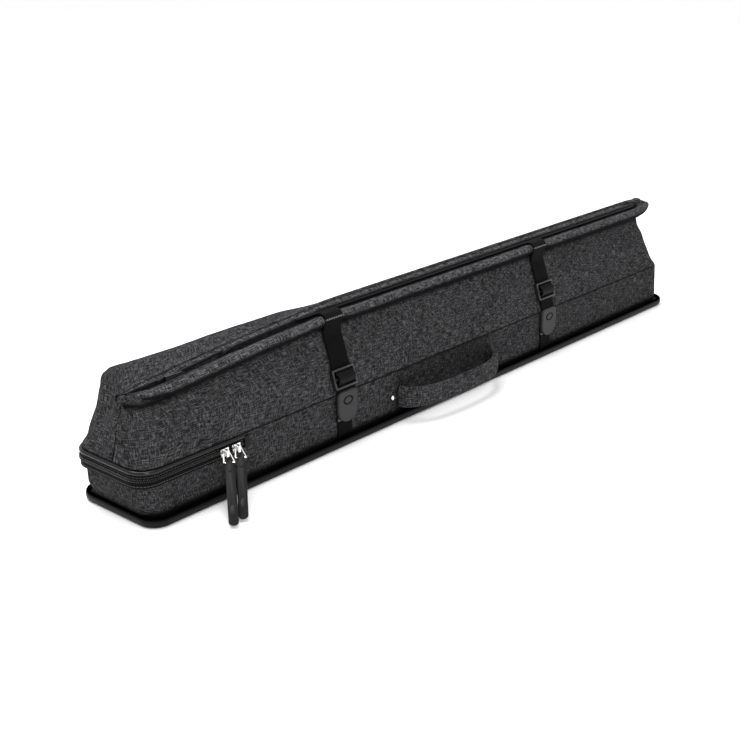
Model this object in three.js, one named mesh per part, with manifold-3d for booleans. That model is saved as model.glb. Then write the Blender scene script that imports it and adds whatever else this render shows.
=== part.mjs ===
// A long hard-bottomed case for billiard cues, in millimetres, +Z up.
// X runs along the case, with the zipped end at -X. The handle and the straps are on the -Y side.
// The origin is the centre of the flat base, on the surface that the case stands on.
import * as THREE from 'three';
import { mergeVertices } from 'three/addons/utils/BufferGeometryUtils.js';
import Module from 'manifold-3d';

const wasm = await Module();
wasm.setup();

// ---------- driving dimensions ----------
const GAP = 0.3;            // clearance kept between neighbouring pieces
const REACH = 600;          // larger than anything that a cutting block has to cut

const BASE = { halfLength: 430, halfWidth: 51.5, corner: 19, height: 9, roll: 3 };
const RIM_WIDTH = 11;
const BOARD_THICK = 4;
const WALL = { halfLength: 427, halfWidth: 46, corner: 17, thick: 4, top: 54.2 };
const END_CUT_X = 405;      // where the long walls meet the end walls
const FAR_CAP_X = 385;      // where the long cover panels meet the far end cap

const ZIP = { halfLength: 432, halfWidth: 47.2, corner: 18, thick: 3, low: 38.5, split: 46.45, high: 54.7 };
const ZIP_STOP_X = -319;    // the zip runs round the near end, from here to here
const ZIP_STOP = { from: 0.3, to: 6, proud: 1.4, low: 41, high: 52 };
const TOOTH = { out: 1.5, height: 1.1, fromSplit: 0.35 };
const PIPING = { out: 1.6, low: 51 };

const HINGE_X = -315;       // fold line of the end flap
const HINGE_Z = 54.5;

const COVER_THICK = 3;
const COVER_CORNER = 25;
const COVER_BOTTOM = 54.5;
const COVER_CEILING = 150;  // above everything
// Each level of the soft cover: height, front and rear edge, near and far end.
const COVER_LEVELS = [
  { z: 54.8, front: -46, rear: 46, near: -431, far: 424 },
  { z: 60, front: -44.6, rear: 45.8, near: -431.5, far: 416 },
  { z: 66, front: -43, rear: 45.2, near: -431, far: 411 },
  { z: 85, front: -36.6, rear: 42.3, near: -430, far: 410 },
  { z: 95, front: -33.2, rear: 40, near: -429, far: 408.5 },
  { z: 105, front: -29.8, rear: 36, near: -427, far: 401 },
  { z: 115, front: -26.4, rear: 29, near: -422, far: 395 },
  { z: 122, front: -24, rear: 20, near: -400, far: 394 },
  { z: 128, front: -20, rear: 10, near: -345, far: 392 },
  { z: 132, front: -17, rear: -2, near: -280, far: 390 },
];
const PANEL_CUT_Y = -19;    // front panel in front of it, rear and top panels behind
const REAR_CUT_Z = 115;     // rear panel below it, top panel above
const FLAP_SEAM_Y = -7;     // centre seam down the near end

const LIP_RADIUS = 4.6;
const LIP_STEPS = 44;
const BEAD_RADIUS = 1.5;    // the pouch's zip chain
const POUCH_SLIDER = { x: -386, y: -28.5, z: 123.4, half: [4, 1.4, 1.8], pullEnd: 15 };

const PLANK = { start: -330, lowerEnd: 415, upperEnd: 384 };
const LINER_TOP = 9;
const SHELF = { low: 45, high: 48 };
const POUCH_FLOOR = { front: -36.8, rear: 39.5, low: 65.3, high: 68.3 };
const LINER_THICK = 2.5;
const PAD_HALF = 28;
const DIVIDER = 3;
const SHAFT_PITCH = 20.5;

const STRAP = { width: 25, low: 3.1, high: 4.5, top: 112, bottom: 58.6, rootEnd: 113.4 };
const STRAP_PIVOT = { y: -27, z: 126 };
const STRAP_WRAP = { before: 0.75, after: 1.5, clearance: 0.1 };  // how far it bends round the lip
const STRAPS = [
  { name: 'near', x: -184, adjusterZ: 59.4 },
  { name: 'far', x: 161, adjusterZ: 67.5 },
];
const ADJUSTER = { half: 15.4, length: 20, bar: 3, low: 1.1, high: 6.8 };
const SNAP = { width: 27, low: 25.5, high: 58, back: -48.9, face: -51.9, drop: 17, chamfer: 2 };
const SNAP_BASE = { width: 23, low: 27, high: 55, back: -46.4, face: -48.6 };
const LOWER_STRAP = { width: 20, back: -46.3, face: -47.6 };

const HANDLE = { z: 27.5, thick: 8, height: 21, tongue: 8 };
// The middle of the grip, seen from above, and the half height of its band along X.
const HANDLE_LINE = [
  [-103.8, -53.2], [-97, -61], [-80, -70.5], [-50, -75], [-12, -76], [20, -73], [41, -63], [50, -53.2],
];
const HANDLE_FLARE = { tip: [-120, 60], neck: [-101, 47], full: [-92, 38] };
const HANDLE_ENDS = [
  { name: 'near', inner: -107.5, outer: -118, rivet: -112.5 },
  { name: 'far', inner: 54, outer: 67, rivet: 61.5 },
];
const ANCHOR = { low: 15, high: 40, back: -46.3, face: -49 };
const RIVET = { radius: 2.8, length: 1.8 };

const SLIDERS = [
  { name: 'a', x: -346, tip: [-379.5, -97.5, 3] },
  { name: 'b', x: -332, tip: [-365.5, -94.5, 3] },
];
const SLIDER = { length: 9.5, low: 42.8, high: 50.3, back: -49.2, face: -51.6 };
const ARCH = { face: -56, half: 1.3, eyeHalf: 2 };  // the loop on the slider that its bail hangs from
const BAIL = { y: -53.1, z: 46.8, reach: 9, lean: 0.42, wire: 0.75, half: 3.3, foot: 4.7 };
const TAB = {
  width: 8.6, neck: 5.8, thick: 2.1, hole: 1.5, top: -1.6, neckEnd: 3, full: 6, holeAt: 9, cut: 2,
};

// ---------- looks ----------
const LOOKS = {
  fabric: { color: 0x3c3a3d, roughness: 0.95, metalness: 0 },
  lining: { color: 0x1b1b1d, roughness: 1, metalness: 0 },
  board: { color: 0x26262a, roughness: 0.8, metalness: 0 },
  rubber: { color: 0x1a1a1c, roughness: 0.55, metalness: 0 },
  webbing: { color: 0x141315, roughness: 0.9, metalness: 0 },
  zipper: { color: 0x0f0f10, roughness: 0.6, metalness: 0 },
  buckle: { color: 0x18181a, roughness: 0.45, metalness: 0 },
  snap: { color: 0x46464b, roughness: 0.5, metalness: 0 },
  metal: { color: 0xc9cacc, roughness: 0.2, metalness: 1 },
};

const cueCase = new THREE.Group();

// ---------- helpers ----------
function toSolid(geometry) {
  const bare = geometry.index ? geometry.toNonIndexed() : geometry.clone();
  bare.deleteAttribute('normal');
  bare.deleteAttribute('uv');
  const merged = mergeVertices(bare, 1e-4);
  return new wasm.Manifold(new wasm.Mesh({
    numProp: 3,
    vertProperties: Float32Array.from(merged.attributes.position.array),
    triVerts: Uint32Array.from(merged.index.array),
  }));
}

function toGeometry(solid) {
  const mesh = solid.getMesh();
  const geometry = new THREE.BufferGeometry();
  geometry.setAttribute('position', new THREE.BufferAttribute(Float32Array.from(mesh.vertProperties), 3));
  geometry.setIndex(Array.from(mesh.triVerts));
  return geometry;
}

function add(name, shape, look, parent = cueCase) {
  const geometry = shape.isBufferGeometry ? shape : toGeometry(shape);
  const mesh = new THREE.Mesh(geometry, new THREE.MeshStandardMaterial(LOOKS[look]));
  mesh.name = name;
  parent.add(mesh);
  return mesh;
}

function block([x0, x1], [y0, y1], [z0, z1]) {
  const geometry = new THREE.BoxGeometry(x1 - x0, y1 - y0, z1 - z0);
  return geometry.translate((x0 + x1) / 2, (y0 + y1) / 2, (z0 + z1) / 2);
}

const cutter = (x, y, z) => toSolid(block(x, y, z));
const ALL = [-REACH, REACH];

function roundedRect(halfX, halfY, radius) {
  const shape = new THREE.Shape();
  shape.absarc(halfX - radius, halfY - radius, radius, 0, Math.PI / 2);
  shape.absarc(radius - halfX, halfY - radius, radius, Math.PI / 2, Math.PI);
  shape.absarc(radius - halfX, radius - halfY, radius, Math.PI, Math.PI * 1.5);
  shape.absarc(halfX - radius, radius - halfY, radius, Math.PI * 1.5, Math.PI * 2);
  return shape;
}

function prism(shape, z0, z1, curveSegments = 5) {
  const options = { depth: z1 - z0, bevelEnabled: false, curveSegments };
  return new THREE.ExtrudeGeometry(shape, options).translate(0, 0, z0);
}

// A band that follows a rounded rectangle, as walls, tapes and piping do.
function band({ halfLength, halfWidth, corner }, thick, z0, z1, out = 0) {
  const outer = toSolid(prism(roundedRect(halfLength + out, halfWidth + out, corner + out), z0, z1));
  const inner = roundedRect(halfLength - thick, halfWidth - thick, corner - thick);
  return outer.subtract(toSolid(prism(inner, z0 - 1, z1 + 1)));
}

// A block whose side view is the given outline of [x, z] points.
function sideView(points) {
  const shape = new THREE.Shape(points.map(([x, z]) => new THREE.Vector2(x, z)));
  const options = { depth: 2 * REACH, bevelEnabled: false };
  return new THREE.ExtrudeGeometry(shape, options).rotateX(Math.PI / 2).translate(0, REACH, 0);
}

// A cord of round section along a smooth line through the points.
function bead(points, radius, steps, sides = 5) {
  const shape = new THREE.Shape().absarc(0, 0, radius, 0, Math.PI * 2);
  const extrudePath = new THREE.CatmullRomCurve3(points.map((p) => new THREE.Vector3(...p)));
  return new THREE.ExtrudeGeometry(shape, { steps, extrudePath, curveSegments: sides, bevelEnabled: false });
}

function rod(from, to, radius, sides = 8) {
  const span = new THREE.Vector3().subVectors(to, from);
  const geometry = new THREE.CylinderGeometry(radius, radius, span.length(), sides);
  const turn = new THREE.Quaternion().setFromUnitVectors(new THREE.Vector3(0, 1, 0), span.clone().normalize());
  const middle = new THREE.Vector3().addVectors(from, to).multiplyScalar(0.5);
  return geometry.applyQuaternion(turn).translate(middle.x, middle.y, middle.z);
}

const join = (solids) => solids.reduce((whole, piece) => whole.add(piece));

// ---------- base ----------
function buildBase() {
  const { halfLength, halfWidth, corner, height, roll } = BASE;
  const rolled = new THREE.ExtrudeGeometry(roundedRect(halfLength - roll, halfWidth - roll, corner - roll), {
    depth: height - 2 * roll, bevelSize: roll, bevelThickness: roll, bevelSegments: 3, curveSegments: 6,
  }).translate(0, 0, roll);
  const hole = (gap) => roundedRect(
    halfLength - RIM_WIDTH - gap, halfWidth - RIM_WIDTH - gap, corner - RIM_WIDTH);
  add('base_rim', toSolid(rolled).subtract(toSolid(prism(hole(0), -1, height + 1))), 'rubber');
  add('base_board', prism(hole(GAP), 0, BOARD_THICK), 'board');
  add('floor_liner', prism(hole(GAP), BOARD_THICK + GAP, LINER_TOP), 'lining');
}

function buildWalls() {
  const low = BASE.height + GAP;
  const zipZone = cutter([-REACH, ZIP_STOP_X], ALL, [ZIP.low - GAP, REACH]);
  const ring = band(WALL, WALL.thick, low, WALL.top).subtract(zipZone);
  const middle = [GAP - END_CUT_X, END_CUT_X - GAP];
  add('front_wall', ring.intersect(cutter(middle, [-REACH, 0], ALL)), 'fabric');
  add('rear_wall', ring.intersect(cutter(middle, [0, REACH], ALL)), 'fabric');
  add('near_end_wall', ring.intersect(cutter([-REACH, -END_CUT_X], ALL, ALL)), 'fabric');
  add('far_end_wall', ring.intersect(cutter([END_CUT_X, REACH], ALL, ALL)), 'fabric');
}

function buildInterior() {
  const { start, lowerEnd, upperEnd } = PLANK;
  const inner = WALL.halfWidth - WALL.thick - GAP;
  const lower = [LINER_TOP + GAP, SHELF.low - GAP];
  const upper = [SHELF.high + GAP, POUCH_FLOOR.low - GAP];
  const side = [inner - LINER_THICK, inner];
  add('side_liner_front', block([start, END_CUT_X], [-side[1], -side[0]], lower), 'lining');
  add('side_liner_rear', block([start, END_CUT_X], side, lower), 'lining');
  add('butt_divider', block([start, lowerEnd], [-DIVIDER / 2, DIVIDER / 2], lower), 'lining');
  add('cue_shelf', block([start, lowerEnd], [-inner + 1, inner - 1], [SHELF.low, SHELF.high]), 'lining');
  ['front', 'middle', 'rear'].forEach((place, i) => {
    const y = (i - 1) * SHAFT_PITCH;
    const thick = [y - DIVIDER / 2, y + DIVIDER / 2];
    add(`shaft_divider_${place}`, block([start, upperEnd], thick, upper), 'lining');
  });
  const { front, rear, low, high } = POUCH_FLOOR;
  add('pouch_floor', block([start, upperEnd], [front, rear], [low, high]), 'lining');
  const padEnd = WALL.halfLength - WALL.thick - GAP;
  const pad = block([lowerEnd + GAP, padEnd], [-PAD_HALF, PAD_HALF], [LINER_TOP + GAP, WALL.top]);
  add('far_end_pad', pad, 'lining');
}

// ---------- soft cover ----------
// The cover's outer shape, drawn in by `inset` on every side: a rounded slab
// whose outline is moved, level by level, to the edges listed above.
function coverBlock(inset) {
  const first = COVER_LEVELS[0];
  const halfX = (first.far - first.near) / 2;
  const steps = COVER_LEVELS.length - 1;
  const slab = new THREE.ExtrudeGeometry(roundedRect(halfX, first.rear, COVER_CORNER), {
    depth: steps, steps, bevelEnabled: false, curveSegments: 6,
  });
  const position = slab.attributes.position;
  for (let i = 0; i < position.count; i += 1) {
    const level = COVER_LEVELS[Math.round(position.getZ(i))];
    const across = position.getX(i) / halfX;
    const along = position.getY(i) / first.rear;
    const x = (level.far + level.near) / 2 + across * ((level.far - level.near) / 2 - inset);
    const y = (level.rear + level.front) / 2 + along * ((level.rear - level.front) / 2 - inset);
    position.setXYZ(i, x, y, level.z - inset);
  }
  return toSolid(slab);
}

const FRONT_LIP_LINE = [
  [-428, -18, 114], [-415, -24, 113], [-380, -27, 114], [-330, -27.5, 118], [-270, -27.2, 122.5],
  [-205, -27, 125.8], [-150, -27, 126], [-50, -27, 126], [100, -27, 126], [250, -27, 126],
  [350, -27, 126], [392, -26, 126.5], [415, -20, 128], [429, -16, 129],
];
const BACK_LIP_LINE = [
  [-426, -13, 116], [-405, -12, 119], [-370, -11, 124], [-330, -10.5, 128], [-290, -10, 131],
  [-200, -10, 134], [-100, -10, 135], [50, -10, 135], [200, -10, 135], [330, -10, 135],
  [385, -10, 134.5], [415, -12, 132], [429, -14, 130.5],
];
const CHAIN_FIXED = [[-222, -19.8, 131.5], [0, -19.8, 131.5], [388, -19.8, 131.5]];
const CHAIN_FLAP = [[-396, -25.4, 121.2], [-357, -24.2, 124.4], [-319, -22.6, 127.6]];

function buildCover() {
  const outer = coverBlock(0);
  const hollow = coverBlock(COVER_THICK);
  const shell = outer.subtract(hollow);
  const skin = coverBlock(-GAP);
  const top = COVER_CEILING;
  const foot = COVER_BOTTOM - 4.5;
  const rise = top - HINGE_Z;
  const flapZone = toSolid(sideView([
    [-REACH, foot], [HINGE_X - 0.5, foot], [HINGE_X - 0.5, top], [-REACH, top],
  ])).intersect(cutter(ALL, ALL, [HINGE_Z + 0.5, REACH]));
  const foldZone = toSolid(sideView([
    [HINGE_X - 0.2, HINGE_Z + 0.7], [HINGE_X + rise - 1, top], [HINGE_X - 0.2, top]]));
  const fixedZone = toSolid(sideView([
    [HINGE_X + 0.5, foot], [REACH, foot], [REACH, top], [HINGE_X + rise, top], [HINGE_X + 0.5, HINGE_Z]]));

  const fixed = shell.intersect(fixedZone).intersect(cutter(ALL, ALL, [COVER_BOTTOM, REACH]));
  const long = [-REACH, FAR_CAP_X - GAP];
  const behind = [PANEL_CUT_Y + GAP, REACH];
  add('cover_front_panel', fixed.intersect(cutter(long, [-REACH, PANEL_CUT_Y], ALL)), 'fabric');
  add('cover_rear_panel', fixed.intersect(cutter(long, behind, [0, REAR_CUT_Z])), 'fabric');
  add('cover_top_panel', fixed.intersect(cutter(long, behind, [REAR_CUT_Z + GAP, REACH])), 'fabric');
  add('cover_far_end', fixed.intersect(cutter([FAR_CAP_X, REACH], ALL, ALL)), 'fabric');

  const flap = shell.intersect(flapZone);
  add('flap_front_panel', flap.intersect(cutter(ALL, [-REACH, FLAP_SEAM_Y], ALL)), 'fabric');
  add('flap_rear_panel', flap.intersect(cutter(ALL, [FLAP_SEAM_Y + GAP, REACH], ALL)), 'fabric');

  const frontLip = toSolid(bead(FRONT_LIP_LINE, LIP_RADIUS, LIP_STEPS));
  const backLip = toSolid(bead(BACK_LIP_LINE, LIP_RADIUS, LIP_STEPS));
  const frontRoom = toSolid(bead(FRONT_LIP_LINE, LIP_RADIUS + GAP, LIP_STEPS));
  const front = frontLip.subtract(skin);
  const back = backLip.subtract(skin).subtract(frontRoom);
  add('front_lip', front.intersect(fixedZone), 'fabric');
  add('back_lip', back.intersect(fixedZone), 'fabric');
  add('flap_front_lip', front.intersect(flapZone), 'fabric');
  add('flap_back_lip', back.intersect(flapZone), 'fabric');
  const whole = join([shell, frontLip.subtract(hollow), backLip.subtract(hollow)]);
  add('fold_gusset', whole.intersect(foldZone), 'fabric');

  const chain = (line) => toSolid(bead(line, BEAD_RADIUS, 6, 3)).subtract(skin);
  add('pouch_zip_chain', chain(CHAIN_FIXED), 'zipper');
  add('flap_pouch_zip_chain', chain(CHAIN_FLAP), 'zipper');
}

function buildPouchSlider() {
  const { x, y, z, half: [hx, hy, hz], pullEnd } = POUCH_SLIDER;
  const body = block([x - hx, x + hx], [y - hy, y + hy], [z - hz, z + hz]);
  const pull = block([x + hx - 0.5, x + pullEnd], [y - 1, y + 0.6], [z - 1, z + 1.6]);
  add('pouch_zip_slider', toSolid(body).add(toSolid(pull)), 'metal');
}

// ---------- zip round the near end ----------
function buildZip() {
  const nearEnd = cutter([-REACH, ZIP_STOP_X - 1], ALL, ALL);
  const { thick, low, split, high } = ZIP;
  const room = TOOTH.fromSplit;
  add('zip_tape_lower', band(ZIP, thick, low, split - GAP).intersect(nearEnd), 'zipper');
  add('zip_tape_upper', band(ZIP, thick, split + GAP, high).intersect(nearEnd), 'zipper');
  const teeth = (z0, z1) => band(ZIP, -GAP, z0, z1, TOOTH.out).intersect(nearEnd);
  add('zip_teeth_lower', teeth(split - room - TOOTH.height, split - room), 'zipper');
  add('zip_teeth_upper', teeth(split + room, split + room + TOOTH.height), 'zipper');
  add('flap_piping', band(ZIP, -GAP, PIPING.low, high, PIPING.out).intersect(nearEnd), 'rubber');
  for (const [place, sign] of [['front', -1], ['rear', 1]]) {
    const y = [sign * (WALL.halfWidth + GAP), sign * (ZIP.halfWidth + ZIP_STOP.proud)].sort((a, b) => a - b);
    const x = [ZIP_STOP_X + ZIP_STOP.from, ZIP_STOP_X + ZIP_STOP.to];
    add(`zip_stop_${place}`, block(x, y, [ZIP_STOP.low, ZIP_STOP.high]), 'webbing');
  }
}

// A slider's plate on the teeth, with an arch that the bail hangs from.
function sliderSolid(x) {
  const { length, low, high, back, face } = SLIDER;
  const plate = block([x - length / 2, x + length / 2], [face, back], [low, high]);
  const arch = block([x - ARCH.half, x + ARCH.half], [ARCH.face, face + 0.5], [low + 0.8, high - 0.4]);
  const eye = block([x - ARCH.eyeHalf, x + ARCH.eyeHalf], [ARCH.face + 1.4, face - 0.2], [low + 2, high - 1.6]);
  return toSolid(plate).add(toSolid(arch).subtract(toSolid(eye)));
}

function buildPuller({ name, x, tip }) {
  add(`zip_slider_${name}`, sliderSolid(x), 'metal');
  const { y, z, reach, lean, wire, half, foot } = BAIL;
  const top = new THREE.Vector3(x, y, z);
  const end = new THREE.Vector3(x, y - reach * lean, z - reach * Math.sqrt(1 - lean * lean));
  const down = new THREE.Vector3(...tip).sub(end);
  const length = down.length();
  down.normalize();
  const width = new THREE.Vector3(0, 0, 1).cross(down).normalize();
  const wireFrame = [];
  for (const side of [-1, 1]) {
    const shoulder = top.clone().add(new THREE.Vector3(side * half, 0, 0));
    const heel = end.clone().addScaledVector(width, side * foot);
    const toe = end.clone().addScaledVector(width, side * (TAB.neck / 2 + GAP));
    wireFrame.push(rod(top, shoulder, wire), rod(shoulder, heel, wire), rod(heel, toe, wire));
    for (const joint of [shoulder, heel]) {
      wireFrame.push(new THREE.SphereGeometry(wire * 1.05, 8, 6).translate(joint.x, joint.y, joint.z));
    }
  }
  add(`zip_bail_${name}`, join(wireFrame.map(toSolid)), 'metal');

  const tab = add(`zip_tab_${name}`, tabSolid(length), 'rubber');
  const face = new THREE.Vector3().crossVectors(width, down);
  tab.applyMatrix4(new THREE.Matrix4().makeBasis(width, down, face).setPosition(end));
}

// The tab lies along +Y from its hinge, with a narrow neck, a hole and a round tip.
function tabSolid(length) {
  const { width, neck, thick, hole, top, neckEnd, full, holeAt, cut } = TAB;
  const half = width / 2;
  const shape = new THREE.Shape();
  shape.moveTo(-neck / 2, top);
  shape.lineTo(neck / 2, top);
  shape.lineTo(neck / 2, neckEnd);
  shape.lineTo(half, full);
  shape.lineTo(half, length - cut);
  shape.lineTo(half - cut, length);
  shape.lineTo(cut - half, length);
  shape.lineTo(-half, length - cut);
  shape.lineTo(-half, full);
  shape.lineTo(-neck / 2, neckEnd);
  shape.holes.push(new THREE.Path().absarc(0, holeAt, hole, 0, Math.PI * 2, true));
  return prism(shape, -thick / 2, thick / 2, 5);
}

// ---------- straps ----------
// Strap pieces are drawn on the sloping front panel: local Y runs up the slope, local Z out of it.
const SLOPE_FOOT = { y: -46, z: 54.5 };
const SLOPE_HEAD = { y: -24, z: 122 };
const SLOPE = Math.atan2(SLOPE_HEAD.z - SLOPE_FOOT.z, SLOPE_HEAD.y - SLOPE_FOOT.y);

function slopeGroup(x) {
  const group = new THREE.Group();
  group.position.set(x, SLOPE_FOOT.y, SLOPE_FOOT.z);
  group.rotation.x = SLOPE;
  cueCase.add(group);
  return group;
}

const upSlope = (z) => (z - SLOPE_FOOT.z) / Math.sin(SLOPE);

function buildStrap({ name, x, adjusterZ }) {
  const group = slopeGroup(x);
  const half = STRAP.width / 2;
  const across = [-half, half];
  const thick = [STRAP.low, STRAP.high];
  const run = [upSlope(STRAP.bottom), upSlope(STRAP.top)];
  add(`${name}_strap_webbing`, block(across, run, thick), 'webbing', group);
  add(`${name}_adjuster`, adjusterSolid(half, upSlope(adjusterZ)), 'buckle', group);

  add(`${name}_strap_root`, strapRoot(x, half), 'webbing');
  add(`${name}_snap`, snapSolid(x), 'snap');
  const base = SNAP_BASE.width / 2;
  add(`${name}_snap_base`, block([x - base, x + base], [SNAP_BASE.face, SNAP_BASE.back],
    [SNAP_BASE.low, SNAP_BASE.high]), 'buckle');
  const lower = LOWER_STRAP.width / 2;
  add(`${name}_strap_lower`, block([x - lower, x + lower], [LOWER_STRAP.face, LOWER_STRAP.back],
    [BASE.height + GAP, SNAP_BASE.low - GAP]), 'webbing');
}

// The ladder adjuster: two rails, a top and a bottom bar over the webbing and a middle bar under it.
function adjusterSolid(half, start) {
  const { half: outer, length, bar, low, high } = ADJUSTER;
  const inner = half + GAP;
  const over = [STRAP.high + GAP, high];
  const under = [low, STRAP.low - GAP];
  const run = [start, start + length];
  const middle = start + length / 2;
  return join([
    block([-outer, -inner], run, [low, high]),
    block([inner, outer], run, [low, high]),
    block([-outer, outer], [start, start + bar], over),
    block([-outer, outer], [start + length - bar, start + length], over),
    block([-outer, outer], [middle - bar / 2, middle + bar / 2], under),
  ].map(toSolid));
}

// The fixed end of the strap: out of the slot, over the front lip and a little way down the panel.
function strapRoot(x, half) {
  const inner = LIP_RADIUS + GAP + STRAP_WRAP.clearance;
  const outer = inner + STRAP.high - STRAP.low;
  const { y, z } = STRAP_PIVOT;
  const foot = (out) => {
    const along = (STRAP.rootEnd - SLOPE_FOOT.z) / Math.sin(SLOPE);
    const py = SLOPE_FOOT.y + along * Math.cos(SLOPE) - out * Math.sin(SLOPE);
    return [py, STRAP.rootEnd + out * Math.cos(SLOPE)];
  };
  const shape = new THREE.Shape();
  const from = Math.PI / 2 - STRAP_WRAP.before;
  const to = Math.PI / 2 + STRAP_WRAP.after;
  shape.absarc(y, z, outer, from, to);
  shape.lineTo(...foot(STRAP.high));
  shape.lineTo(...foot(STRAP.low));
  shape.absarc(y, z, inner, to, from, true);
  const options = { depth: 2 * half, bevelEnabled: false, curveSegments: 8 };
  const turn = new THREE.Matrix4().makeBasis(
    new THREE.Vector3(0, 1, 0), new THREE.Vector3(0, 0, 1), new THREE.Vector3(1, 0, 0));
  return new THREE.ExtrudeGeometry(shape, options).applyMatrix4(turn).translate(x - half, 0, 0);
}

// The magnetic snap's tongue: flat at the top, half an ellipse at the bottom, with a thumb groove.
function snapSolid(x) {
  const { width, low, high, back, face, drop, chamfer } = SNAP;
  const half = width / 2;
  const shape = new THREE.Shape();
  shape.moveTo(half - chamfer, high);
  shape.lineTo(chamfer - half, high);
  shape.lineTo(-half, high - chamfer);
  shape.lineTo(-half, low + drop);
  shape.absellipse(0, low + drop, half, drop, Math.PI, Math.PI * 2);
  shape.lineTo(half, high - chamfer);
  const options = { depth: back - face, bevelEnabled: false, curveSegments: 10 };
  return new THREE.ExtrudeGeometry(shape, options).rotateX(Math.PI / 2).translate(x, back, 0);
}

// ---------- handle ----------
function buildHandle() {
  const { z, thick, height, tongue } = HANDLE;
  const path = new THREE.CatmullRomCurve3(HANDLE_LINE.map(([x, y]) => new THREE.Vector3(x, y, z)));
  const section = roundedRect(height / 2, thick / 2, 2.5);
  const grip = toSolid(new THREE.ExtrudeGeometry(section, {
    steps: 26, extrudePath: path, curveSegments: 2, bevelEnabled: false,
  }));
  const [half, small] = [height / 2 + 1, tongue / 2];
  const { tip, neck, full } = HANDLE_FLARE;
  const edge = [
    [tip[0], small], [neck[0], small], [full[0], half], [full[1], half], [neck[1], small], [tip[1], small],
  ];
  const below = edge.map(([x, reach]) => [x, z - reach]);
  const above = edge.map(([x, reach]) => [x, z + reach]).reverse();
  const outline = sideView([...below, ...above]);
  add('handle_grip', grip.intersect(toSolid(outline)), 'fabric');
  for (const { name, inner, outer, rivet } of HANDLE_ENDS) {
    const x = [inner, outer].sort((a, b) => a - b);
    add(`handle_anchor_${name}`, block(x, [ANCHOR.face, ANCHOR.back], [ANCHOR.low, ANCHOR.high]), 'fabric');
    const head = new THREE.CylinderGeometry(RIVET.radius, RIVET.radius, RIVET.length, 14);
    head.translate(rivet, ANCHOR.face - GAP - RIVET.length / 2, z);
    add(`handle_rivet_${name}`, head, 'metal');
  }
}

buildBase();
buildWalls();
buildInterior();
buildCover();
buildPouchSlider();
buildZip();
SLIDERS.forEach(buildPuller);
STRAPS.forEach(buildStrap);
buildHandle();

export default cueCase;
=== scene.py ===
import math
import bmesh
import bpy
import numpy as np
from mathutils import Matrix, Vector, noise


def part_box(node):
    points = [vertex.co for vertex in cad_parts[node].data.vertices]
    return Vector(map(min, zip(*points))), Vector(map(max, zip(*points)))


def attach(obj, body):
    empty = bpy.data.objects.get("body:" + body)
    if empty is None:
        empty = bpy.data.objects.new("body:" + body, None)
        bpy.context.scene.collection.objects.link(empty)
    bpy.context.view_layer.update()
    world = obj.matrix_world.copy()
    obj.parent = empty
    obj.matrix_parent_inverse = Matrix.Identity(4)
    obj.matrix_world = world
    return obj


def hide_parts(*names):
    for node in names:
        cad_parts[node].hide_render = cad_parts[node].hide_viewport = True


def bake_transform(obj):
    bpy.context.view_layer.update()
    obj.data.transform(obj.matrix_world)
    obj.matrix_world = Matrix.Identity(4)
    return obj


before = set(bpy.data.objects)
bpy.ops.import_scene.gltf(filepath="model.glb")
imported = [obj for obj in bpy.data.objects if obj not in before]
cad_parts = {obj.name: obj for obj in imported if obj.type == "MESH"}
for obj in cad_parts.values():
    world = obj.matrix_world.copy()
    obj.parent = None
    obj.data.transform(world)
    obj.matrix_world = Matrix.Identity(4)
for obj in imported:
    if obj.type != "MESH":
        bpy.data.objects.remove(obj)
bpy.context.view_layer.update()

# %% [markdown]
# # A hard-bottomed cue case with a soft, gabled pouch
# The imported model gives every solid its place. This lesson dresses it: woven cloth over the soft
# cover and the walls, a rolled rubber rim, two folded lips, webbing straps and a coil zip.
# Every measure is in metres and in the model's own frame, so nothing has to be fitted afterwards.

MM = 0.001


def smooth(value):
    """An S-curve from 0 to 1, flat at both ends."""
    value = np.clip(value, 0, 1)
    return value * value * (3 - 2 * value)


def make_piece(name, bm, material, soft=True):
    """Turns a bmesh into a piece of the object, with its material and smooth shading."""
    mesh = bpy.data.meshes.new(name)
    bm.to_mesh(mesh)
    bm.free()
    piece = bpy.data.objects.new(name, mesh)
    bpy.context.scene.collection.objects.link(piece)
    mesh.materials.append(material)
    mesh.shade_smooth()
    if not soft:
        mesh.set_sharp_from_angle(angle=math.radians(35))
    return piece


def finish_with(piece, kind, **settings):
    """Adds a modifier and gives it its settings by name."""
    modifier = piece.modifiers.new(kind.title(), kind)
    for key, value in settings.items():
        setattr(modifier, key, value)
    return modifier


def subdivide(piece, levels=1):
    finish_with(piece, "SUBSURF", levels=levels, render_levels=levels)


# The seams layer holds distances to stitched seams and to painted shade lines.
def lay_grid(points, uv=None, wrap_across=False, wrap_up=False, cap=False, shade=None):
    """A bmesh grid whose vertices are moved onto an array of points, rows by columns.
    Wrapped edges are merged, so that a sheet closes into a tube or a ring. `uv` and `shade`
    are arrays of pairs for the layers UVMap and seams."""
    rows, columns = points.shape[:2]
    bm = bmesh.new()
    bmesh.ops.create_grid(bm, x_segments=columns - 1, y_segments=rows - 1, size=0.5)
    layers = [(bm.loops.layers.uv.new(name), values)
              for name, values in (("UVMap", uv), ("seams", shade)) if values is not None]
    for face in bm.faces:
        for loop in face.loops:
            i = round((loop.vert.co.y + 0.5) * (rows - 1))
            j = round((loop.vert.co.x + 0.5) * (columns - 1))
            for layer, values in layers:
                loop[layer].uv = values[i, j]
    for vert in bm.verts:
        i = round((vert.co.y + 0.5) * (rows - 1))
        j = round((vert.co.x + 0.5) * (columns - 1))
        vert.co = points[i, j]
    if wrap_across or wrap_up:
        bmesh.ops.remove_doubles(bm, verts=bm.verts, dist=2e-6)
    if cap:
        bmesh.ops.holes_fill(bm, edges=[e for e in bm.edges if e.is_boundary], sides=0)
    bmesh.ops.recalc_face_normals(bm, faces=bm.faces)
    return bm


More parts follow.
